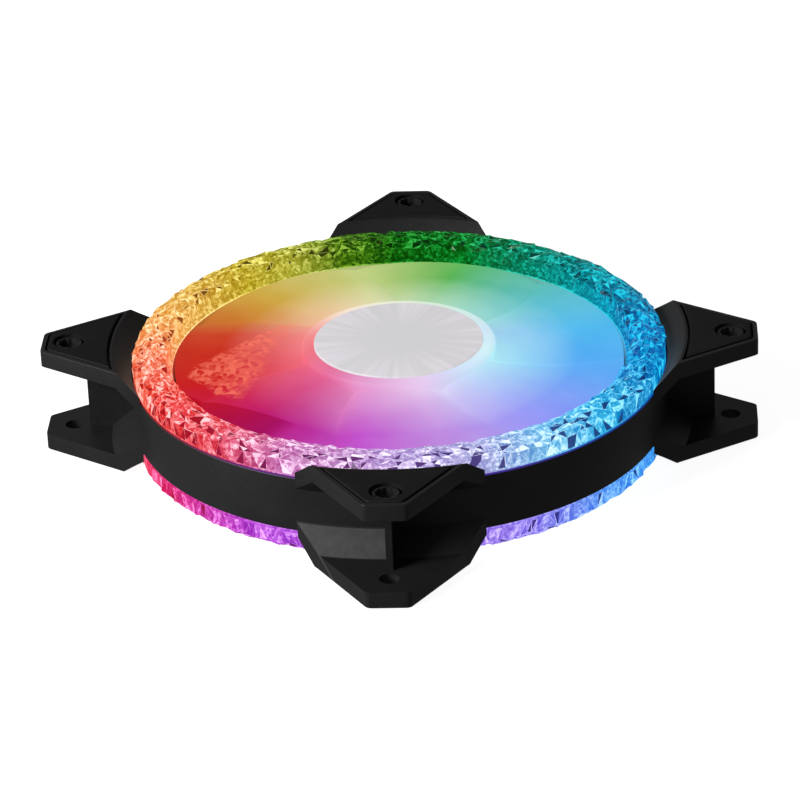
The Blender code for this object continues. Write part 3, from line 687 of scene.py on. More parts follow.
def impeller_material():
    """Frosted blades with the lamps' colours painted on as glow, paler towards the hub, with
    painted shade and a painted reflection of the ring.
    """
    material, tree, sockets = new_material(
        "impeller_frosted", IOR=1.49, Specular_IOR_Level=0.06
    )
    turn, radius, height = polar(tree)
    root = light_ramp(tree, turn, DISC_ROOT_LIGHT)
    rim = light_ramp(tree, turn, DISC_RIM_LIGHT)
    outward = rise(tree, radius, HUB_OUT, BLADE_TIP - RIM_LIGHT_WIDTH)
    colour = mix_colours(tree, outward, root, rim)

    cloud = stretch(tree, noise(tree, 70.0, 2.0), 1.0, 1.16)
    # Painted shade: deeper colour lower down the blades
    low = remap(tree, height, HUB_LOW, BLADE_HIGH[1], 1.25, 1.0)
    # Painted shade where one blade dips under the next
    overlap = remap(tree, beside_lines(tree, OVERLAP_LINES), 0.0, 1.0, 1.0, 1.35)
    colour = gamma(tree, colour, product(tree, cloud, low, overlap))
    colour = mix_colours(tree, glint_mask(tree), colour, linear(GLINT_COLOUR))
    # Painted glow: the hub's shoulder turns white, strongest on one side
    colour = mix_colours(tree, painted_hub_glow(tree, turn, radius, height), colour, WHITE)
    glow(tree, sockets, colour, 0.96, darkness=0.93)
    grain = noise(tree, 2200.0, 2.0)
    texture(tree, sockets, stretch(tree, grain, 0.38, 0.50), grain, 0.000002)
    return material


def cap_material():
    """Satin silver cap with fine radial lines that fade towards the centre, kept pale by a
    painted glow.
    """
    material, tree, sockets = new_material("hub_cap_satin", Specular_IOR_Level=0.4)
    angle, radius = around_axis(tree, object_place(tree))[:2]
    spokes = joined(tree, angle, maths(tree, "MULTIPLY", radius, 3.0))
    rays = noise(tree, 8.0, 2.0, 0.5, spokes)
    reach = remap(tree, radius, CAP_PLAIN_RADIUS, CAP_RADIUS, 0.0, 1.0, "SMOOTHSTEP")
    share = product(tree, stretch(tree, rays, 0.0, 1.0, NOISE_NARROW), reach)
    tone = two_tone(tree, share, (0.79, 0.785, 0.795), (0.845, 0.825, 0.85))
    # Painted glow: the cap gives off its own pale tone
    glow(tree, sockets, tone, 0.89, darkness=0.80)
    texture(tree, sockets, stretch(tree, rays, 0.38, 0.50), share, 0.00001)
    return material


def rubber_material():
    """Soft black rubber: matt, with a fine open grain and faint dust in the low spots."""
    material, tree, sockets = new_material("pad_rubber_fine", Specular_IOR_Level=0.2)
    grain = noise(tree, 3200.0, 3.0, 0.7)
    cloud = rise(tree, noise(tree, 120.0, 4.0), 0.35, 0.7)
    tone = two_tone(tree, cloud, (0.028, 0.028, 0.029), (0.050, 0.050, 0.051))
    texture(tree, sockets, stretch(tree, grain, 0.62, 0.80), grain, 0.00002, tone)
    return material


def board_material():
    """White solder-masked board with faint copper runs under the mask."""
    material, tree, sockets = new_material("board_mask", Coat_Weight=0.3, Coat_Roughness=0.2)
    runs = cells(tree, 420.0, "DISTANCE_TO_EDGE")["Distance"]
    share = rise(tree, runs, 0.04, 0.07)
    tone = two_tone(tree, share, (0.78, 0.79, 0.74), (0.88, 0.89, 0.87))
    gloss = stretch(tree, noise(tree, 900.0), 0.35, 0.5)
    texture(tree, sockets, gloss, share, 0.00002, tone)
    return material


def lamp_material():
    """Phosphor of a lamp, speckled from warm to cool white."""
    material, tree, sockets = new_material("lamp_phosphor", Roughness=0.25)
    grain = stretch(tree, noise(tree, 1800.0), 0.0, 1.0)
    glow(tree, sockets, two_tone(tree, grain, (0.98, 0.95, 0.80), (0.90, 0.92, 0.98)), 1.5)
    return material


def label_material():
    """Brushed foil: fine circular lines and a plain darker rim, no print."""
    material, tree, sockets = new_material("label_foil", Metallic=0.85)
    radius = around_axis(tree, object_place(tree))[1]
    lines = noise(tree, 9000.0, 4.0, 0.6, joined(tree, radius))
    rim = rise(tree, radius, *LABEL_RIM)
    tone = two_tone(tree, rim, (0.74, 0.75, 0.77), (0.30, 0.30, 0.32))
    texture(tree, sockets, stretch(tree, lines, 0.28, 0.45), lines, 0.00001, tone)
    return material


def wire_material():
    """Enamelled copper wire, wound in close turns round each arm."""
    material, tree, sockets = new_material("coil_wire", Metallic=0.9, Coat_Weight=0.5)
    radius = around_axis(tree, object_place(tree))[1]
    turns = maths(tree, "SINE", maths(tree, "MULTIPLY", radius, 2 * math.pi / WIRE_PITCH))
    tone = rise(tree, turns, -1.0, 1.0)
    colour = two_tone(tree, tone, (0.45, 0.18, 0.08), (0.88, 0.48, 0.25))
    gloss = stretch(tree, noise(tree, 900.0), 0.25, 0.4)
    texture(tree, sockets, gloss, tone, 0.00008, colour)
    return material


def make_materials():
    return {
        "frame": frame_material(),
        "pad": rubber_material(),
        "front_crystal": crystal_material("crystal_front", FRONT_RING_LIGHT, 2.7, 0.50),
        "rear_crystal": crystal_material("crystal_rear", REAR_RING_LIGHT, 2.0, 0.18),
        "diffuser": diffuser_material(),
        "board": board_material(),
        "led": lamp_material(),
        "chip": moulded_plastic("chip_epoxy", (0.10, 0.10, 0.11), (0.15, 0.15, 0.16), 0.55),
        "ribbon": moulded_plastic("ribbon_pvc", (0.12, 0.12, 0.12), (0.17, 0.17, 0.17), 0.5),
        "label": label_material(),
        "brass": metal("brass_turned", (0.87, 0.72, 0.42), (0.72, 0.56, 0.30), 0.28, (1, 1, 12)),
        "bronze": metal("bronze_sintered", (0.72, 0.56, 0.38), (0.50, 0.38, 0.26), 0.48),
        "insulator": moulded_plastic("nylon_white", (0.86, 0.85, 0.80), (0.94, 0.93, 0.89), 0.48),
        "core": metal("core_laminated", (0.55, 0.56, 0.58), (0.40, 0.41, 0.43), 0.42, (1, 1, 30)),
        "copper": wire_material(),
        "impeller": impeller_material(),
        "cap": cap_material(),
        "steel": metal("steel_drawn", (0.70, 0.71, 0.73), (0.55, 0.56, 0.58), 0.30, (1, 1, 8)),
        "magnet": moulded_plastic("ferrite", (0.16, 0.15, 0.15), (0.24, 0.23, 0.22), 0.6),
        "shaft": metal("shaft_ground", (0.84, 0.85, 0.86), (0.74, 0.75, 0.77), 0.14, (1, 1, 20)),
    }


# ---- Mesh building ---------------------------------------------------------------------


def add_object(name, bm, material):
    bmesh.ops.remove_doubles(bm, verts=bm.verts, dist=MERGE)
    bmesh.ops.recalc_face_normals(bm, faces=bm.faces)
    mesh = bpy.data.meshes.new(name)
    bm.to_mesh(mesh)
    bm.free()
    mesh.materials.append(material)
    obj = bpy.data.objects.new(name, mesh)
    bpy.context.scene.collection.objects.link(obj)
    return obj


def smooth(obj):
    obj.data.shade_smooth()
    obj.data.set_sharp_from_angle(angle=SMOOTH_ANGLE)


def combine(obj, operation, helper):
    """Apply a helper solid to an object by an exact Boolean, then remove the helper."""
    modifier = obj.modifiers.new(HELPER, "BOOLEAN")
    modifier.operation = operation
    modifier.solver = "EXACT"
    modifier.object = helper
    graph = bpy.context.evaluated_depsgraph_get()
    mesh = bpy.data.meshes.new_from_object(obj.evaluated_get(graph))
    obj.modifiers.clear()
    obj.data = mesh
    bpy.data.objects.remove(helper, do_unlink=True)


def add_turned(name, profile, segments, material):
    """Solid swept once round Z from a closed outline of (radius, height) points."""
    bm = bmesh.new()
    rings = []
    for step in range(segments):
        angle = 2 * math.pi * step / segments
        across = Vector((math.cos(angle), math.sin(angle)))
        rings.append([bm.verts.new((*(across * radius), height)) for radius, height in profile])
    for ring, following in zip(rings, rings[1:] + rings[:1]):
        for here in range(len(profile)):
            ahead = (here + 1) % len(profile)
            if profile[here][0] + profile[ahead][0] > 0:
                bm.faces.new((ring[here], following[here], following[ahead], ring[ahead]))
    return add_object(name, bm, material)


def stacked(bm, layers, turn=0.0, pose=Matrix()):
    """Join matching outlines, each given as ((x, y) points, height), into one solid."""
    spin = Matrix.Rotation(turn, 4, "Z") @ pose
    loops = [
        [bm.verts.new(spin @ Vector((*point, height))) for point in outline]
        for outline, height in layers
    ]
    for lower, upper in zip(loops, loops[1:]):
        count = len(lower)
        for here in range(count):
            ahead = (here + 1) % count
            bm.faces.new((lower[here], lower[ahead], upper[ahead], upper[here]))
    bm.faces.new(list(reversed(loops[0])))
    bm.faces.new(loops[-1])


def prism(bm, outline, low, high, turn=0.0, pose=Matrix()):
    stacked(bm, [(outline, low), (outline, high)], turn, pose)


def circle(radius, segments, centre=(0.0, 0.0)):
    steps = [2 * math.pi * step / segments for step in range(segments)]
    return [
        (centre[0] + radius * math.cos(angle), centre[1] + radius * math.sin(angle))
        for angle in steps
    ]


def rectangle(low_x, high_x, half_y):
    return [(low_x, -half_y), (high_x, -half_y), (high_x, half_y), (low_x, half_y)]


def arc(radius, start, finish, steps):
    angles = [start + (finish - start) * step / steps for step in range(steps + 1)]
    return [(radius * math.cos(angle), radius * math.sin(angle)) for angle in angles]


def round_corner(before, corner, after, radius):
    """Points of the arc that rounds one corner of an outline."""
    corner = Vector(corner)
    to_before = (Vector(before) - corner).normalized()
    to_after = (Vector(after) - corner).normalized()
    half = to_before.angle(to_after) / 2
    reach = radius / math.tan(half)
    centre = corner + (to_before + to_after).normalized() * radius / math.sin(half)
    start = corner + to_before * reach
    finish = corner + to_after * reach
    shares = [step / ROUND_STEPS for step in range(ROUND_STEPS + 1)]
    spokes = [start.lerp(finish, share) - centre for share in shares]
    return [tuple(centre + spoke.normalized() * radius) for spoke in spokes]


def rounded(outline, radii):
    """Outline with the corners named in radii, by index, turned into arcs."""
    made = []
    for index, corner in enumerate(outline):
        ahead = outline[(index + 1) % len(outline)]
        if index in radii:
            made += round_corner(outline[index - 1], corner, ahead, radii[index])
        else:
            made.append(corner)
    return made


def inset(outline, distance):
    """Move every edge of an anticlockwise outline inwards."""
    lines = []
    for start, finish in zip(outline, outline[1:] + outline[:1]):
        along = (Vector(finish) - Vector(start)).normalized()
        inward = Vector((-along.y, along.x))
        lines.append((Vector(start) + inward * distance, along))
    moved = []
    for (before, before_along), (point, along) in zip(lines[-1:] + lines[:-1], lines):
        share = (point - before).cross(along) / before_along.cross(along)
        moved.append(tuple(before + before_along * share))
    return moved


def rounded_layers(outline_at, face, side, radius):
    """Layers of a quarter-round edge: outline_at gives the outline for an inset."""
    layers = []
    for step in range(ROUND_STEPS + 1):
        angle = math.pi / 2 * step / ROUND_STEPS
        margin = radius * (1 - math.sin(angle))
        layers.append((outline_at(margin), face + side * radius * (1 - math.cos(angle))))
    return layers


def lug_corners(margin):
    """Corners of a lug's outline, anticlockwise, each edge moved in by the margin."""
    half = [LUG_END, LUG_SHOULDER, LUG_ROOT, LUG_INSIDE]
    other_half = [(along, -side) for along, side in reversed(half)]
    return inset(other_half + half, margin)


def lug_outline(margin):
    end, shoulder = LUG_END_ROUND, LUG_SHOULDER_ROUND
    return rounded(lug_corners(margin), {2: shoulder, 3: end, 4: end, 5: shoulder})


def panel_outline(margin, inner_radius):
    """Outline inside a lug's edges that ends in a hollow arc beside the crystal ring."""
    corners = lug_corners(margin)
    end = Vector(corners[4])
    side = Vector(corners[5]) - end
    # The side edge is followed from the lug's end to where it meets the inner arc.
    square = side.dot(side)
    slope = 2 * end.dot(side)
    beyond = end.dot(end) - inner_radius**2
    root = math.sqrt(slope * slope - 4 * square * beyond)
    meeting = end + side * (-slope - root) / (2 * square)
    spread = math.atan2(meeting.y, meeting.x)
    bend = arc(inner_radius, spread, -spread, PAD_ARC_STEPS)
    return rounded([corners[3], corners[4], *bend], {0: LUG_END_ROUND, 1: LUG_END_ROUND})


def corner_turns():
    return [EIGHTH_TURN + corner * math.pi / 2 for corner in range(CORNERS)]


# ---- Frame -----------------------------------------------------------------------------


def band_profile():
    """Section of the band and duct: outer edges, duct lip and collar edge are rounded."""
    middle = DEPTH / 2
    low_step, high_step = COLLAR_STEP
    corners = [
        (BAND_OUT, BAND_LOW),
        (BAND_OUT, flipped(BAND_LOW)),
        (BAND_IN, flipped(BAND_LOW)),
        (BAND_IN, middle + WEB_HALF),
        (DUCT_OUT, middle + WEB_HALF),
        (DUCT_OUT, DUCT_HIGH),
        (DUCT_IN, DUCT_HIGH),
        (DUCT_IN, high_step),
        (COLLAR_IN, low_step),
        (COLLAR_IN, COLLAR_LOW),
        (COLLAR_OUT, COLLAR_LOW),
        (COLLAR_OUT, COLLAR_SHELF),
        (DUCT_OUT, COLLAR_SHELF),
        (DUCT_OUT, middle - WEB_HALF),
        (BAND_IN, middle - WEB_HALF),
        (BAND_IN, BAND_LOW),
    ]
    return rounded(corners, {0: BAND_ROUND, 1: BAND_ROUND, 6: BAND_ROUND, 9: BAND_ROUND})


def lug_profile(flare_start, flare_reach):
    """Section through a rear lug: plate, dished cone beside the ring and flare to the band."""
    foot_radius, foot_height = DISH_FOOT
    corners = [
        (LUG_INNER, flare_start),
        (BAND_OUT, flare_start),
        (flare_reach, LUG_BACK),
        (LUG_REACH, LUG_BACK),
        (LUG_REACH, FRAME_LOW),
        (DISH_RIM, FRAME_LOW),
        (foot_radius, foot_height),
        (DISH_WALL, foot_height + GAP),
        (DISH_WALL, BAND_LOW + GAP),
        (LUG_INNER, BAND_LOW + GAP),
    ]
    return rounded(corners, {5: DISH_ROUND})


def add_lugs(name, profile, rim, side, inner_end, material):
    """Four lugs of one face: a turned section cut to the lug outline at each corner."""
    lugs = add_turned(name, profile, BAND_SEGMENTS, material)
    layers = rounded_layers(lug_outline, rim, side, LUG_EDGE)
    back = rim + side * (LUG_BACK - FRAME_LOW)
    layers.append((lug_outline(0.0), back - side * LUG_EDGE))
    layers.append((lug_outline(0.0), inner_end))
    bm = bmesh.new()
    for turn in corner_turns():
        stacked(bm, layers, turn)
    combine(lugs, "INTERSECT", add_object(HELPER, bm, material))
    return lugs


def add_fins(material):
    """Upright ribs on the diagonals; their inner ends stay inside the band and the lugs."""
    lower = [(LUG_INNER, FIN_BAND_LOW), (FIN_FULL, FIN_LOW), (FIN_OUTER, FIN_LOW)]
    outline = lower + mirrored(lower)[::-1]
    upright = Matrix(((1, 0, 0, 0), (0, 0, -1, 0), (0, 1, 0, 0), (0, 0, 0, 1)))
    bm = bmesh.new()
    for turn in corner_turns():
        prism(bm, outline, -FIN_THICKNESS / 2, FIN_THICKNESS / 2, turn, upright)
    return add_object(HELPER, bm, material)


def add_struts(material):
    """Four rear struts on the diagonals; the first is wide and carries the lead channel."""
    bm = bmesh.new()
    for index, turn in enumerate(corner_turns()):
        width = WIDE_STRUT_WIDTH if index == 0 else STRUT_WIDTH

        def outline_at(margin, half=width / 2):
            return rectangle(STRUT_INNER, STRUT_OUTER, half - margin)

        top = rounded_layers(outline_at, STRUT_HIGH, -1, STRUT_ROUND)
        bottom = rounded_layers(outline_at, STRUT_LOW, 1, STRUT_ROUND / 2)
        stacked(bm, bottom + top[::-1], turn)
    return add_object(HELPER, bm, material)


def add_channel(material):
    bm = bmesh.new()
    outline = rectangle(CHANNEL_INNER, CHANNEL_OUTER, CHANNEL_WIDTH / 2)
    prism(bm, outline, 0.0, CHANNEL_ROOF, EIGHTH_TURN)
    return add_object(HELPER, bm, material)


def at_corners(material, *shapes):
    """Helper solid with a prism at each corner for every (outline, low, high)."""
    bm = bmesh.new()
    for turn in corner_turns():
        for outline, low, high in shapes:
            prism(bm, outline, low, high, turn)
    return add_object(HELPER, bm, material)


def on_both_faces(outline, low, high):
    return (outline, low, high), (outline, flipped(high), flipped(low))


def add_recesses(material):
    outline = panel_outline(RECESS_MARGIN, RECESS_INNER)
    return at_corners(material, *on_both_faces(outline, -FRAME_LOW, RECESS_FLOOR))


def add_screw_holes(material):
    hole = circle(SCREW_RADIUS, HOLE_SEGMENTS, (HOLE_DISTANCE, 0.0))
    return at_corners(material, (hole, -LUG_BACK, flipped(-LUG_BACK)))


def boss_ring_outline():
    """Inside of a hole's boss: shallow grooves between narrow ribs."""
    points = []
    steps = BOSS_RIBS * 4
    for step in range(steps):
        angle = 2 * math.pi * (step + 0.5) / steps
        radius = SCREW_RADIUS + BOSS_RIB_DEPTH * (step % 4 in (1, 2))
        points.append((HOLE_DISTANCE + radius * math.cos(angle), radius * math.sin(angle)))
    return points


def add_boss_rings(material):
    """Low ring round each screw hole, standing in the pad's hole."""
    outer = circle(BOSS_RING_OUT, HOLE_SEGMENTS, (HOLE_DISTANCE, 0.0))
    heights = (FRAME_LOW + BOSS_RING_DROP, RECESS_FLOOR + GAP)
    rings = at_corners(material, *on_both_faces(outer, *heights))
    inside = on_both_faces(boss_ring_outline(), 0.0, LUG_BACK)
    combine(rings, "DIFFERENCE", at_corners(material, *inside))
    return rings


def base_profile():
    corners = [
        (0.0, BASE_UNDER),
        (LABEL_SEAT, BASE_UNDER),
        (LABEL_SEAT, BASE_LOW),
        (BASE_OUT, BASE_LOW),
        (BASE_OUT, BASE_RIM),
        (BASE_WALL_IN, BASE_RIM),
        (BASE_WALL_IN, BASE_FLOOR),
        (BOSS_OUT, BASE_FLOOR),
        (BOSS_OUT, BOSS_HIGH),
        (BOSS_IN, BOSS_HIGH),
        (BOSS_IN, BOSS_FLOOR),
        (0.0, BOSS_FLOOR),
    ]
    return rounded(corners, {3: BASE_ROUND, 4: BASE_ROUND})


def add_frame_shell(material):
    shell = add_turned("frame_shell", band_profile(), BAND_SEGMENTS, material)
    rear = lug_profile(*REAR_FLARE)
    front_start, front_reach = FRONT_FLARE
    front = mirrored(lug_profile(flipped(front_start), front_reach))
    middle = DEPTH / 2
    combine(shell, "UNION", add_lugs(HELPER, front, FRAME_HIGH, -1, middle, material))
    combine(shell, "UNION", add_lugs(HELPER, rear, FRAME_LOW, 1, middle, material))
    combine(shell, "UNION", add_fins(material))
    combine(shell, "UNION", add_turned(HELPER, base_profile(), TURN_SEGMENTS, material))
    combine(shell, "UNION", add_struts(material))
    combine(shell, "DIFFERENCE", add_channel(material))
    combine(shell, "DIFFERENCE", add_recesses(material))
    combine(shell, "UNION", add_boss_rings(material))
    combine(shell, "DIFFERENCE", add_screw_holes(material))
    smooth(shell)
    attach(shell, "frame")
    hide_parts("frame")


def add_pads(material):
    """Rubber pads with rounded edges and a hole that leaves the screw boss clear."""
    for face, low in (("rear", 0.0), ("front", DEPTH - PAD_HEIGHT)):
        for index, turn in enumerate(corner_turns()):
            name = f"{face}_pad_{index + 1}"
            pad = add_pad(name + "_soft", face == "front", low, turn, material)
            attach(pad, "frame")
            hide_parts(name)


def add_pad(name, front, low, turn, material):
    high = low + PAD_HEIGHT

    def outline_at(margin):
        return panel_outline(PAD_MARGIN + margin, PAD_INNER + margin)

    if front:
        layers = [(outline_at(0.0), low)] + rounded_layers(outline_at, high, -1, PAD_EDGE)[::-1]
    else:
        layers = rounded_layers(outline_at, low, 1, PAD_EDGE) + [(outline_at(0.0), high)]
    bm = bmesh.new()
    stacked(bm, layers)
    pad = add_object(name, bm, material)
    bm = bmesh.new()
    prism(bm, circle(PAD_HOLE, HOLE_SEGMENTS, (HOLE_DISTANCE, 0.0)), low - GAP, high + GAP)
    combine(pad, "DIFFERENCE", add_object(HELPER, bm, material))
    pad.data.transform(Matrix.Rotation(turn, 4, "Z"))
    smooth(pad)
    return pad


# ---- Crystal rings ---------------------------------------------------------------------


def ring_section(rows, jitter):
    """Points of the ring's dome from its outer foot to its inner foot, as (radius, height)."""
    crest = RING_CREST - RING_FOOT - jitter
    points = []
    for row in range(rows + 1):
        share = row / rows
        fullness = RING_FULLNESS[share > 0.5]
        swell = math.sin(math.pi * between(RING_SWELL, share)) ** fullness
        points.append((between((RING_OUTER, RING_INNER), share), RING_FOOT + crest * swell))
    return points


def ring_rows(rows, jitter):
    """The whole outline as ((radius, height), 1 where the point is free to move or 0)."""
    outer = RING_OUTER + RING_OUTSET
    upper, lower = RING_LEDGES
    plain_outer = [(outer, RING_FOOT), (outer, RING_FOOT + RING_RIM)]
    plain_inner = [
        (RING_INNER, RING_FOOT + upper),
        (RING_LIP, RING_FOOT + lower),
        (RING_LIP, RING_FOOT),
    ]
    made = [(point, 0.0) for point in plain_outer]
    made += [(point, 1.0) for point in ring_section(rows, jitter)]
    return made + [(point, 0.0) for point in plain_inner]


def facet_level(draw, share, gathered):
    """How pale a facet is, as painted light and shade; the shaded ones gather low on the outer
    side.
    """
    lean = draw.random()
    zone = "middle"
    if share < OUTER_SHARE:
        zone = "gathered" if gathered else "outer"
    elif share > INNER_SHARE:
        zone = "inner"
    if lean < SHADED_FACET_SHARES[zone]:
        return 0.0
    if lean > WHITE_FROM:
        return 1.0
    return draw.triangular(*FACET_SPREAD)


def ring_columns(bm, draw, face_name):
    """Columns of points round the ring, each moved a little where it is free to."""
    steps, rows = RING_FINENESS[face_name]
    jitter = RING_JITTER[face_name]
    outline = ring_rows(rows, jitter)
    columns = []
    for step in range(steps):
        column = []
        for (radius, height), free in outline:
            shift = free * draw.uniform(-RING_TWIST, RING_TWIST)
            angle = 2 * math.pi / steps * (step + shift)
            radius += free * draw.uniform(-jitter, jitter)
            height += free * draw.uniform(-jitter, jitter)
            height = min(height, RING_CREST)
            height = height if face_name == "front" else flipped(height)
            spot = (radius * math.cos(angle), radius * math.sin(angle), height)
            column.append(bm.verts.new(spot))
        columns.append(column)
    return columns


def join_columns(bm, draw, face_name, facet, columns):
    """Faces between the columns; returns the cut ones, two shards to a cell."""
    steps, rows = RING_FINENESS[face_name]
    count = len(columns[0])
    plain_levels = {0: FOOT_FACET, count - 2: LIP_FACET}
    shards = []
    for step, (column, following) in enumerate(zip(columns, columns[1:] + columns[:1])):
        degrees = (math.degrees(step * 2 * math.pi / steps) + 180) % 360 - 180
        gathered = face_name == "front" and SHADED_FACET_TURNS[0] < degrees < SHADED_FACET_TURNS[1]
        for here in range(count):
            ahead = (here + 1) % count
            quad = [column[here], following[here], following[ahead], column[ahead]]
            if here not in range(1, rows + 2):
                bm.faces.new(quad)[facet] = plain_levels.get(here, PLAIN_FACET)
                continue
            if draw.random() < 0.5:
                quad = quad[1:] + quad[:1]
            for corners in ((quad[0], quad[1], quad[2]), (quad[0], quad[2], quad[3])):
                shard = bm.faces.new(corners)
                shard[facet] = facet_level(draw, (here - 1) / rows, gathered)
                shards.append(shard)
    return shards


def add_crystal_ring(name, face_name, material):
    """Ring of jittered shards, some with a bright border painted as a highlight, over a smooth
    foot, rim and lip.
    """
    draw = random.Random(RING_SEEDS[face_name])
    bm = bmesh.new()
    facet = bm.faces.layers.float.new("facet")
    columns = ring_columns(bm, draw, face_name)
    shards = join_columns(bm, draw, face_name, facet, columns)
    bmesh.ops.recalc_face_normals(bm, faces=bm.faces)
    # Painted highlights: a thin pale border inset on some shards
    lined = [shard for shard in shards if draw.random() < RING_EDGE_SHARE]
    bordered = bmesh.ops.inset_individual(
        bm, faces=lined, thickness=RING_EDGE_LINE, depth=0.0, use_even_offset=True
    )
    for face in bordered["faces"]:
        face[facet] = EDGE_LINE_FACET
    for corner in bm.verts:
        corner.co.z = min(max(corner.co.z, flipped(RING_CREST)), RING_CREST)
    ring = add_object(name, bm, material)
    ring.visible_diffuse = False
    ring.visible_glossy = False
    ring.data.shade_flat()
    return ring


def add_crystal_rings(materials):
    for face in ("front", "rear"):
        node = face + "_crystal_ring"
        ring = add_crystal_ring(node + "_cut", face, materials[face + "_crystal"])
        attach(ring, "frame")
        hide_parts(node)


# ---- Rotor -----------------------------------------------------------------------------


def hub_profile():
    plate_low, plate_high = HUB_PLATE
    return [
        (HUB_OUT, HUB_LOW),
        *HUB_SHOULDER,
        (CAP_SEAT, HUB_TOP),
        (CAP_SEAT, plate_high),
        (BUSH_HOLE, plate_high),
        (BUSH_HOLE, plate_low),
        (HUB_IN, plate_low),
        (HUB_IN, HUB_LOW),
    ]


def blade_section(share):
    """Points of the blade's upper and lower face at a share of its span, root to tip."""
    radius = between((BLADE_ROOT, BLADE_TIP), share)
    spread = between(BLADE_SPREAD, share)
    climb = between(BLADE_HIGH, share) - BLADE_LOW
    droop = between(BLADE_DROOP, share)
    thickness = between(BLADE_THICKNESS, share)
    upper, lower = [], []
    for step in range(CHORD_STEPS + 1):
        along = (step / CHORD_STEPS) ** CHORD_CROWDING
        angle = BLADE_SWEEP * share**SWEEP_POWER + spread * (along - 0.5)
        lift = 1 - (1 - along) ** CAMBER_POWER
        height = BLADE_LOW + climb * lift - droop * along**DROOP_POWER
        half = thickness / 2 * (EDGE_SHARE + (1 - EDGE_SHARE) * math.sin(math.pi * along))
        spot = (radius * math.cos(angle), radius * math.sin(angle))
        upper.append((*spot, height + half))
        lower.append((*spot, height - half))
    return upper + lower[::-1]


def add_blade(bm, turn):
    spin = Matrix.Rotation(turn, 4, "Z")
    loops = [
        [bm.verts.new(spin @ Vector(point)) for point in blade_section(step / SPAN_STEPS)]
        for step in range(SPAN_STEPS + 1)
    ]
    count = len(loops[0])
    for inner, outer in zip(loops, loops[1:]):
        for here in range(count):
            ahead = (here + 1) % count
            bm.faces.new((inner[here], inner[ahead], outer[ahead], outer[here]))
    for loop in (loops[0], loops[-1]):
        for here in range(CHORD_STEPS):
            below = count - 1 - here
            bm.faces.new((loop[here], loop[here + 1], loop[below - 1], loop[below]))


def add_impeller(material):
    """Hub shell and blades; blades overlap each other, so they are joined one at a time."""
    impeller = add_turned("impeller_lit", hub_profile(), TURN_SEGMENTS, material)
    for blade in range(BLADES):
        bm = bmesh.new()
        add_blade(bm, 2 * math.pi * blade / BLADES)
        combine(impeller, "UNION", add_object(HELPER, bm, material))
    smooth(impeller)
    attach(impeller, "rotor")
    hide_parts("impeller")


def add_cap(material):
    corners = [(0.0, CAP_LOW), (CAP_RADIUS, CAP_LOW), (CAP_RADIUS, CAP_TOP), (0.0, CAP_TOP)]
    profile = rounded(corners, {2: CAP_EDGE})
    cap = add_turned("hub_cap_satin", profile, BAND_SEGMENTS, material)
    smooth(cap)
    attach(cap, "rotor")
    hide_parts("hub_cap")


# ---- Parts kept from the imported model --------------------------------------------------

KEPT_PARTS = {
    "diffuser": ("front_light_guide", "rear_light_guide"),
    "board": ("front_led_board", "rear_led_board", "motor_board"),
    "chip": ("hall_sensor", "driver_chip"),
    "ribbon": ("led_ribbon",),
    "label": ("rear_label",),
    "brass": ("bearing_tube", "rotor_bush"),
    "bronze": ("sleeve_bearing",),
    "insulator": (
        "oil_seal_ring", "thrust_pad", "stator_insulator_lower", "stator_insulator_upper"
    ),
    "core": ("stator_core",),
    "steel": ("rotor_yoke", "retaining_ring"),
    "magnet": ("magnet_ring",),
    "shaft": ("shaft",),
}


def finish_of(node):
    if "_led_" in node and not node.endswith("board"):
        return "led"
    if node.startswith("coil_"):
        return "copper"
    return next((finish for finish, nodes in KEPT_PARTS.items() if node in nodes), None)


def finish_kept_parts(materials):
    for name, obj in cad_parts.items():
        finish = finish_of(name)
        if finish is None:
            continue
        if not obj.material_slots:
            obj.data.materials.append(materials[finish])
        for slot in obj.material_slots:
            slot.link = "OBJECT"
            slot.material = materials[finish]


# ---- Studio ----------------------------------------------------------------------------


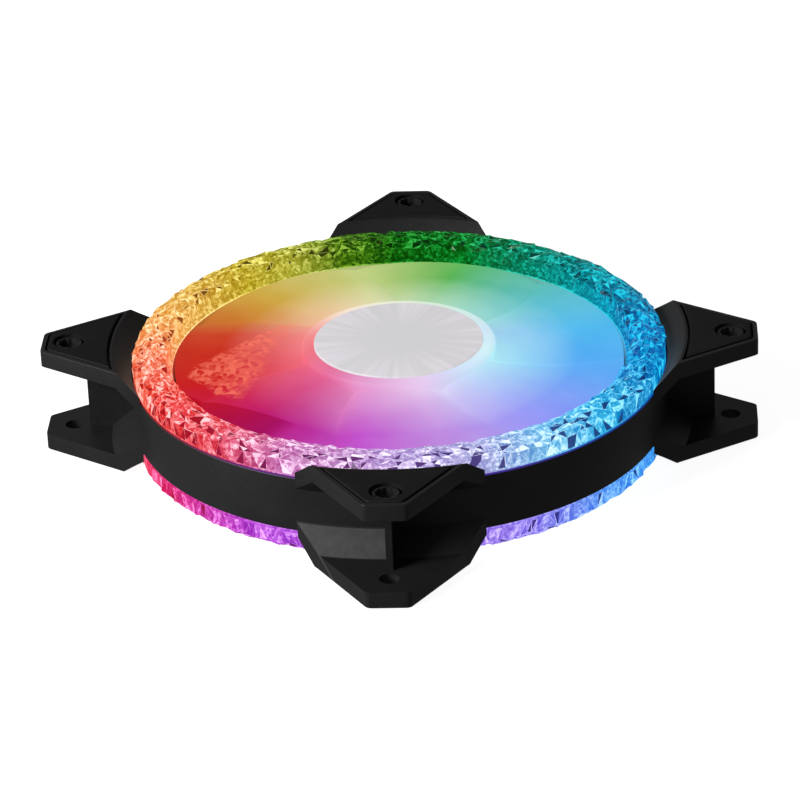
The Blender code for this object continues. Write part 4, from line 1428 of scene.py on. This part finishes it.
def add_camera():
    """Camera on the middle of the fan, turned to its direction and rolled on its own axis."""
    data = bpy.data.cameras.new("camera")
    data.lens = VIEW_LENS
    data.sensor_width = SENSOR
    data.clip_start, data.clip_end = CLIP
    camera = bpy.data.objects.new("camera", data)
    aim = (
        Matrix.Rotation(VIEW_AZIMUTH, 4, "Z")
        @ Matrix.Rotation(math.pi / 2 - VIEW_ELEVATION, 4, "X")
        @ Matrix.Rotation(VIEW_ROLL, 4, "Z")
    )
    middle = Matrix.Translation((0.0, 0.0, DEPTH / 2))
    back = Matrix.Translation((-VIEW_OFFSET[0], -VIEW_OFFSET[1], VIEW_DISTANCE))
    camera.matrix_world = middle @ aim @ back
    bpy.context.scene.collection.objects.link(camera)
    bpy.context.scene.camera = camera


def add_floor():
    low, high = -FLOOR_HALF, FLOOR_HALF
    corners = [(low, low), (high, low), (high, high), (low, high)]
    bm = bmesh.new()
    bm.faces.new([bm.verts.new((*corner, -FLOOR_DROP)) for corner in corners])
    material, tree, sockets = new_material("floor_white", Specular_IOR_Level=0.1, Roughness=0.9)
    tone = stretch(tree, noise(tree, 3.0), 0.0, 1.0)
    dark, light = ((level, level, level, 1.0) for level in FLOOR_TONES)
    feed(tree, sockets["Base Color"], mix_colours(tree, tone, dark, light))
    sockets["Emission Color"].default_value = WHITE
    sockets["Emission Strength"].default_value = FLOOR_LIGHT
    floor = add_object("floor", bm, material)
    floor.visible_diffuse = False
    floor.visible_glossy = False


def add_key_light():
    """One soft round light, well to the left of the camera."""
    data = bpy.data.lights.new("key_left", "AREA")
    data.energy = KEY_POWER
    data.shape = "DISK"
    data.size = KEY_SIZE
    light = bpy.data.objects.new("key_left", data)
    light.location = KEY_PLACE
    light.rotation_euler = (KEY_AIM - KEY_PLACE).to_track_quat("-Z", "Y").to_euler()
    bpy.context.scene.collection.objects.link(light)


def add_studio():
    add_camera()
    add_floor()
    add_key_light()
    world = bpy.data.worlds.new("studio")
    world.use_nodes = True
    background = world.node_tree.nodes["Background"]
    background.inputs["Color"].default_value = WHITE
    background.inputs["Strength"].default_value = ROOM_LIGHT
    bpy.context.scene.world = world
    bpy.context.scene.view_settings.view_transform = "Standard"


add_studio()
finishes = make_materials()
add_frame_shell(finishes["frame"])
add_pads(finishes["pad"])
add_crystal_rings(finishes)
add_impeller(finishes["impeller"])
add_cap(finishes["cap"])
finish_kept_parts(finishes)
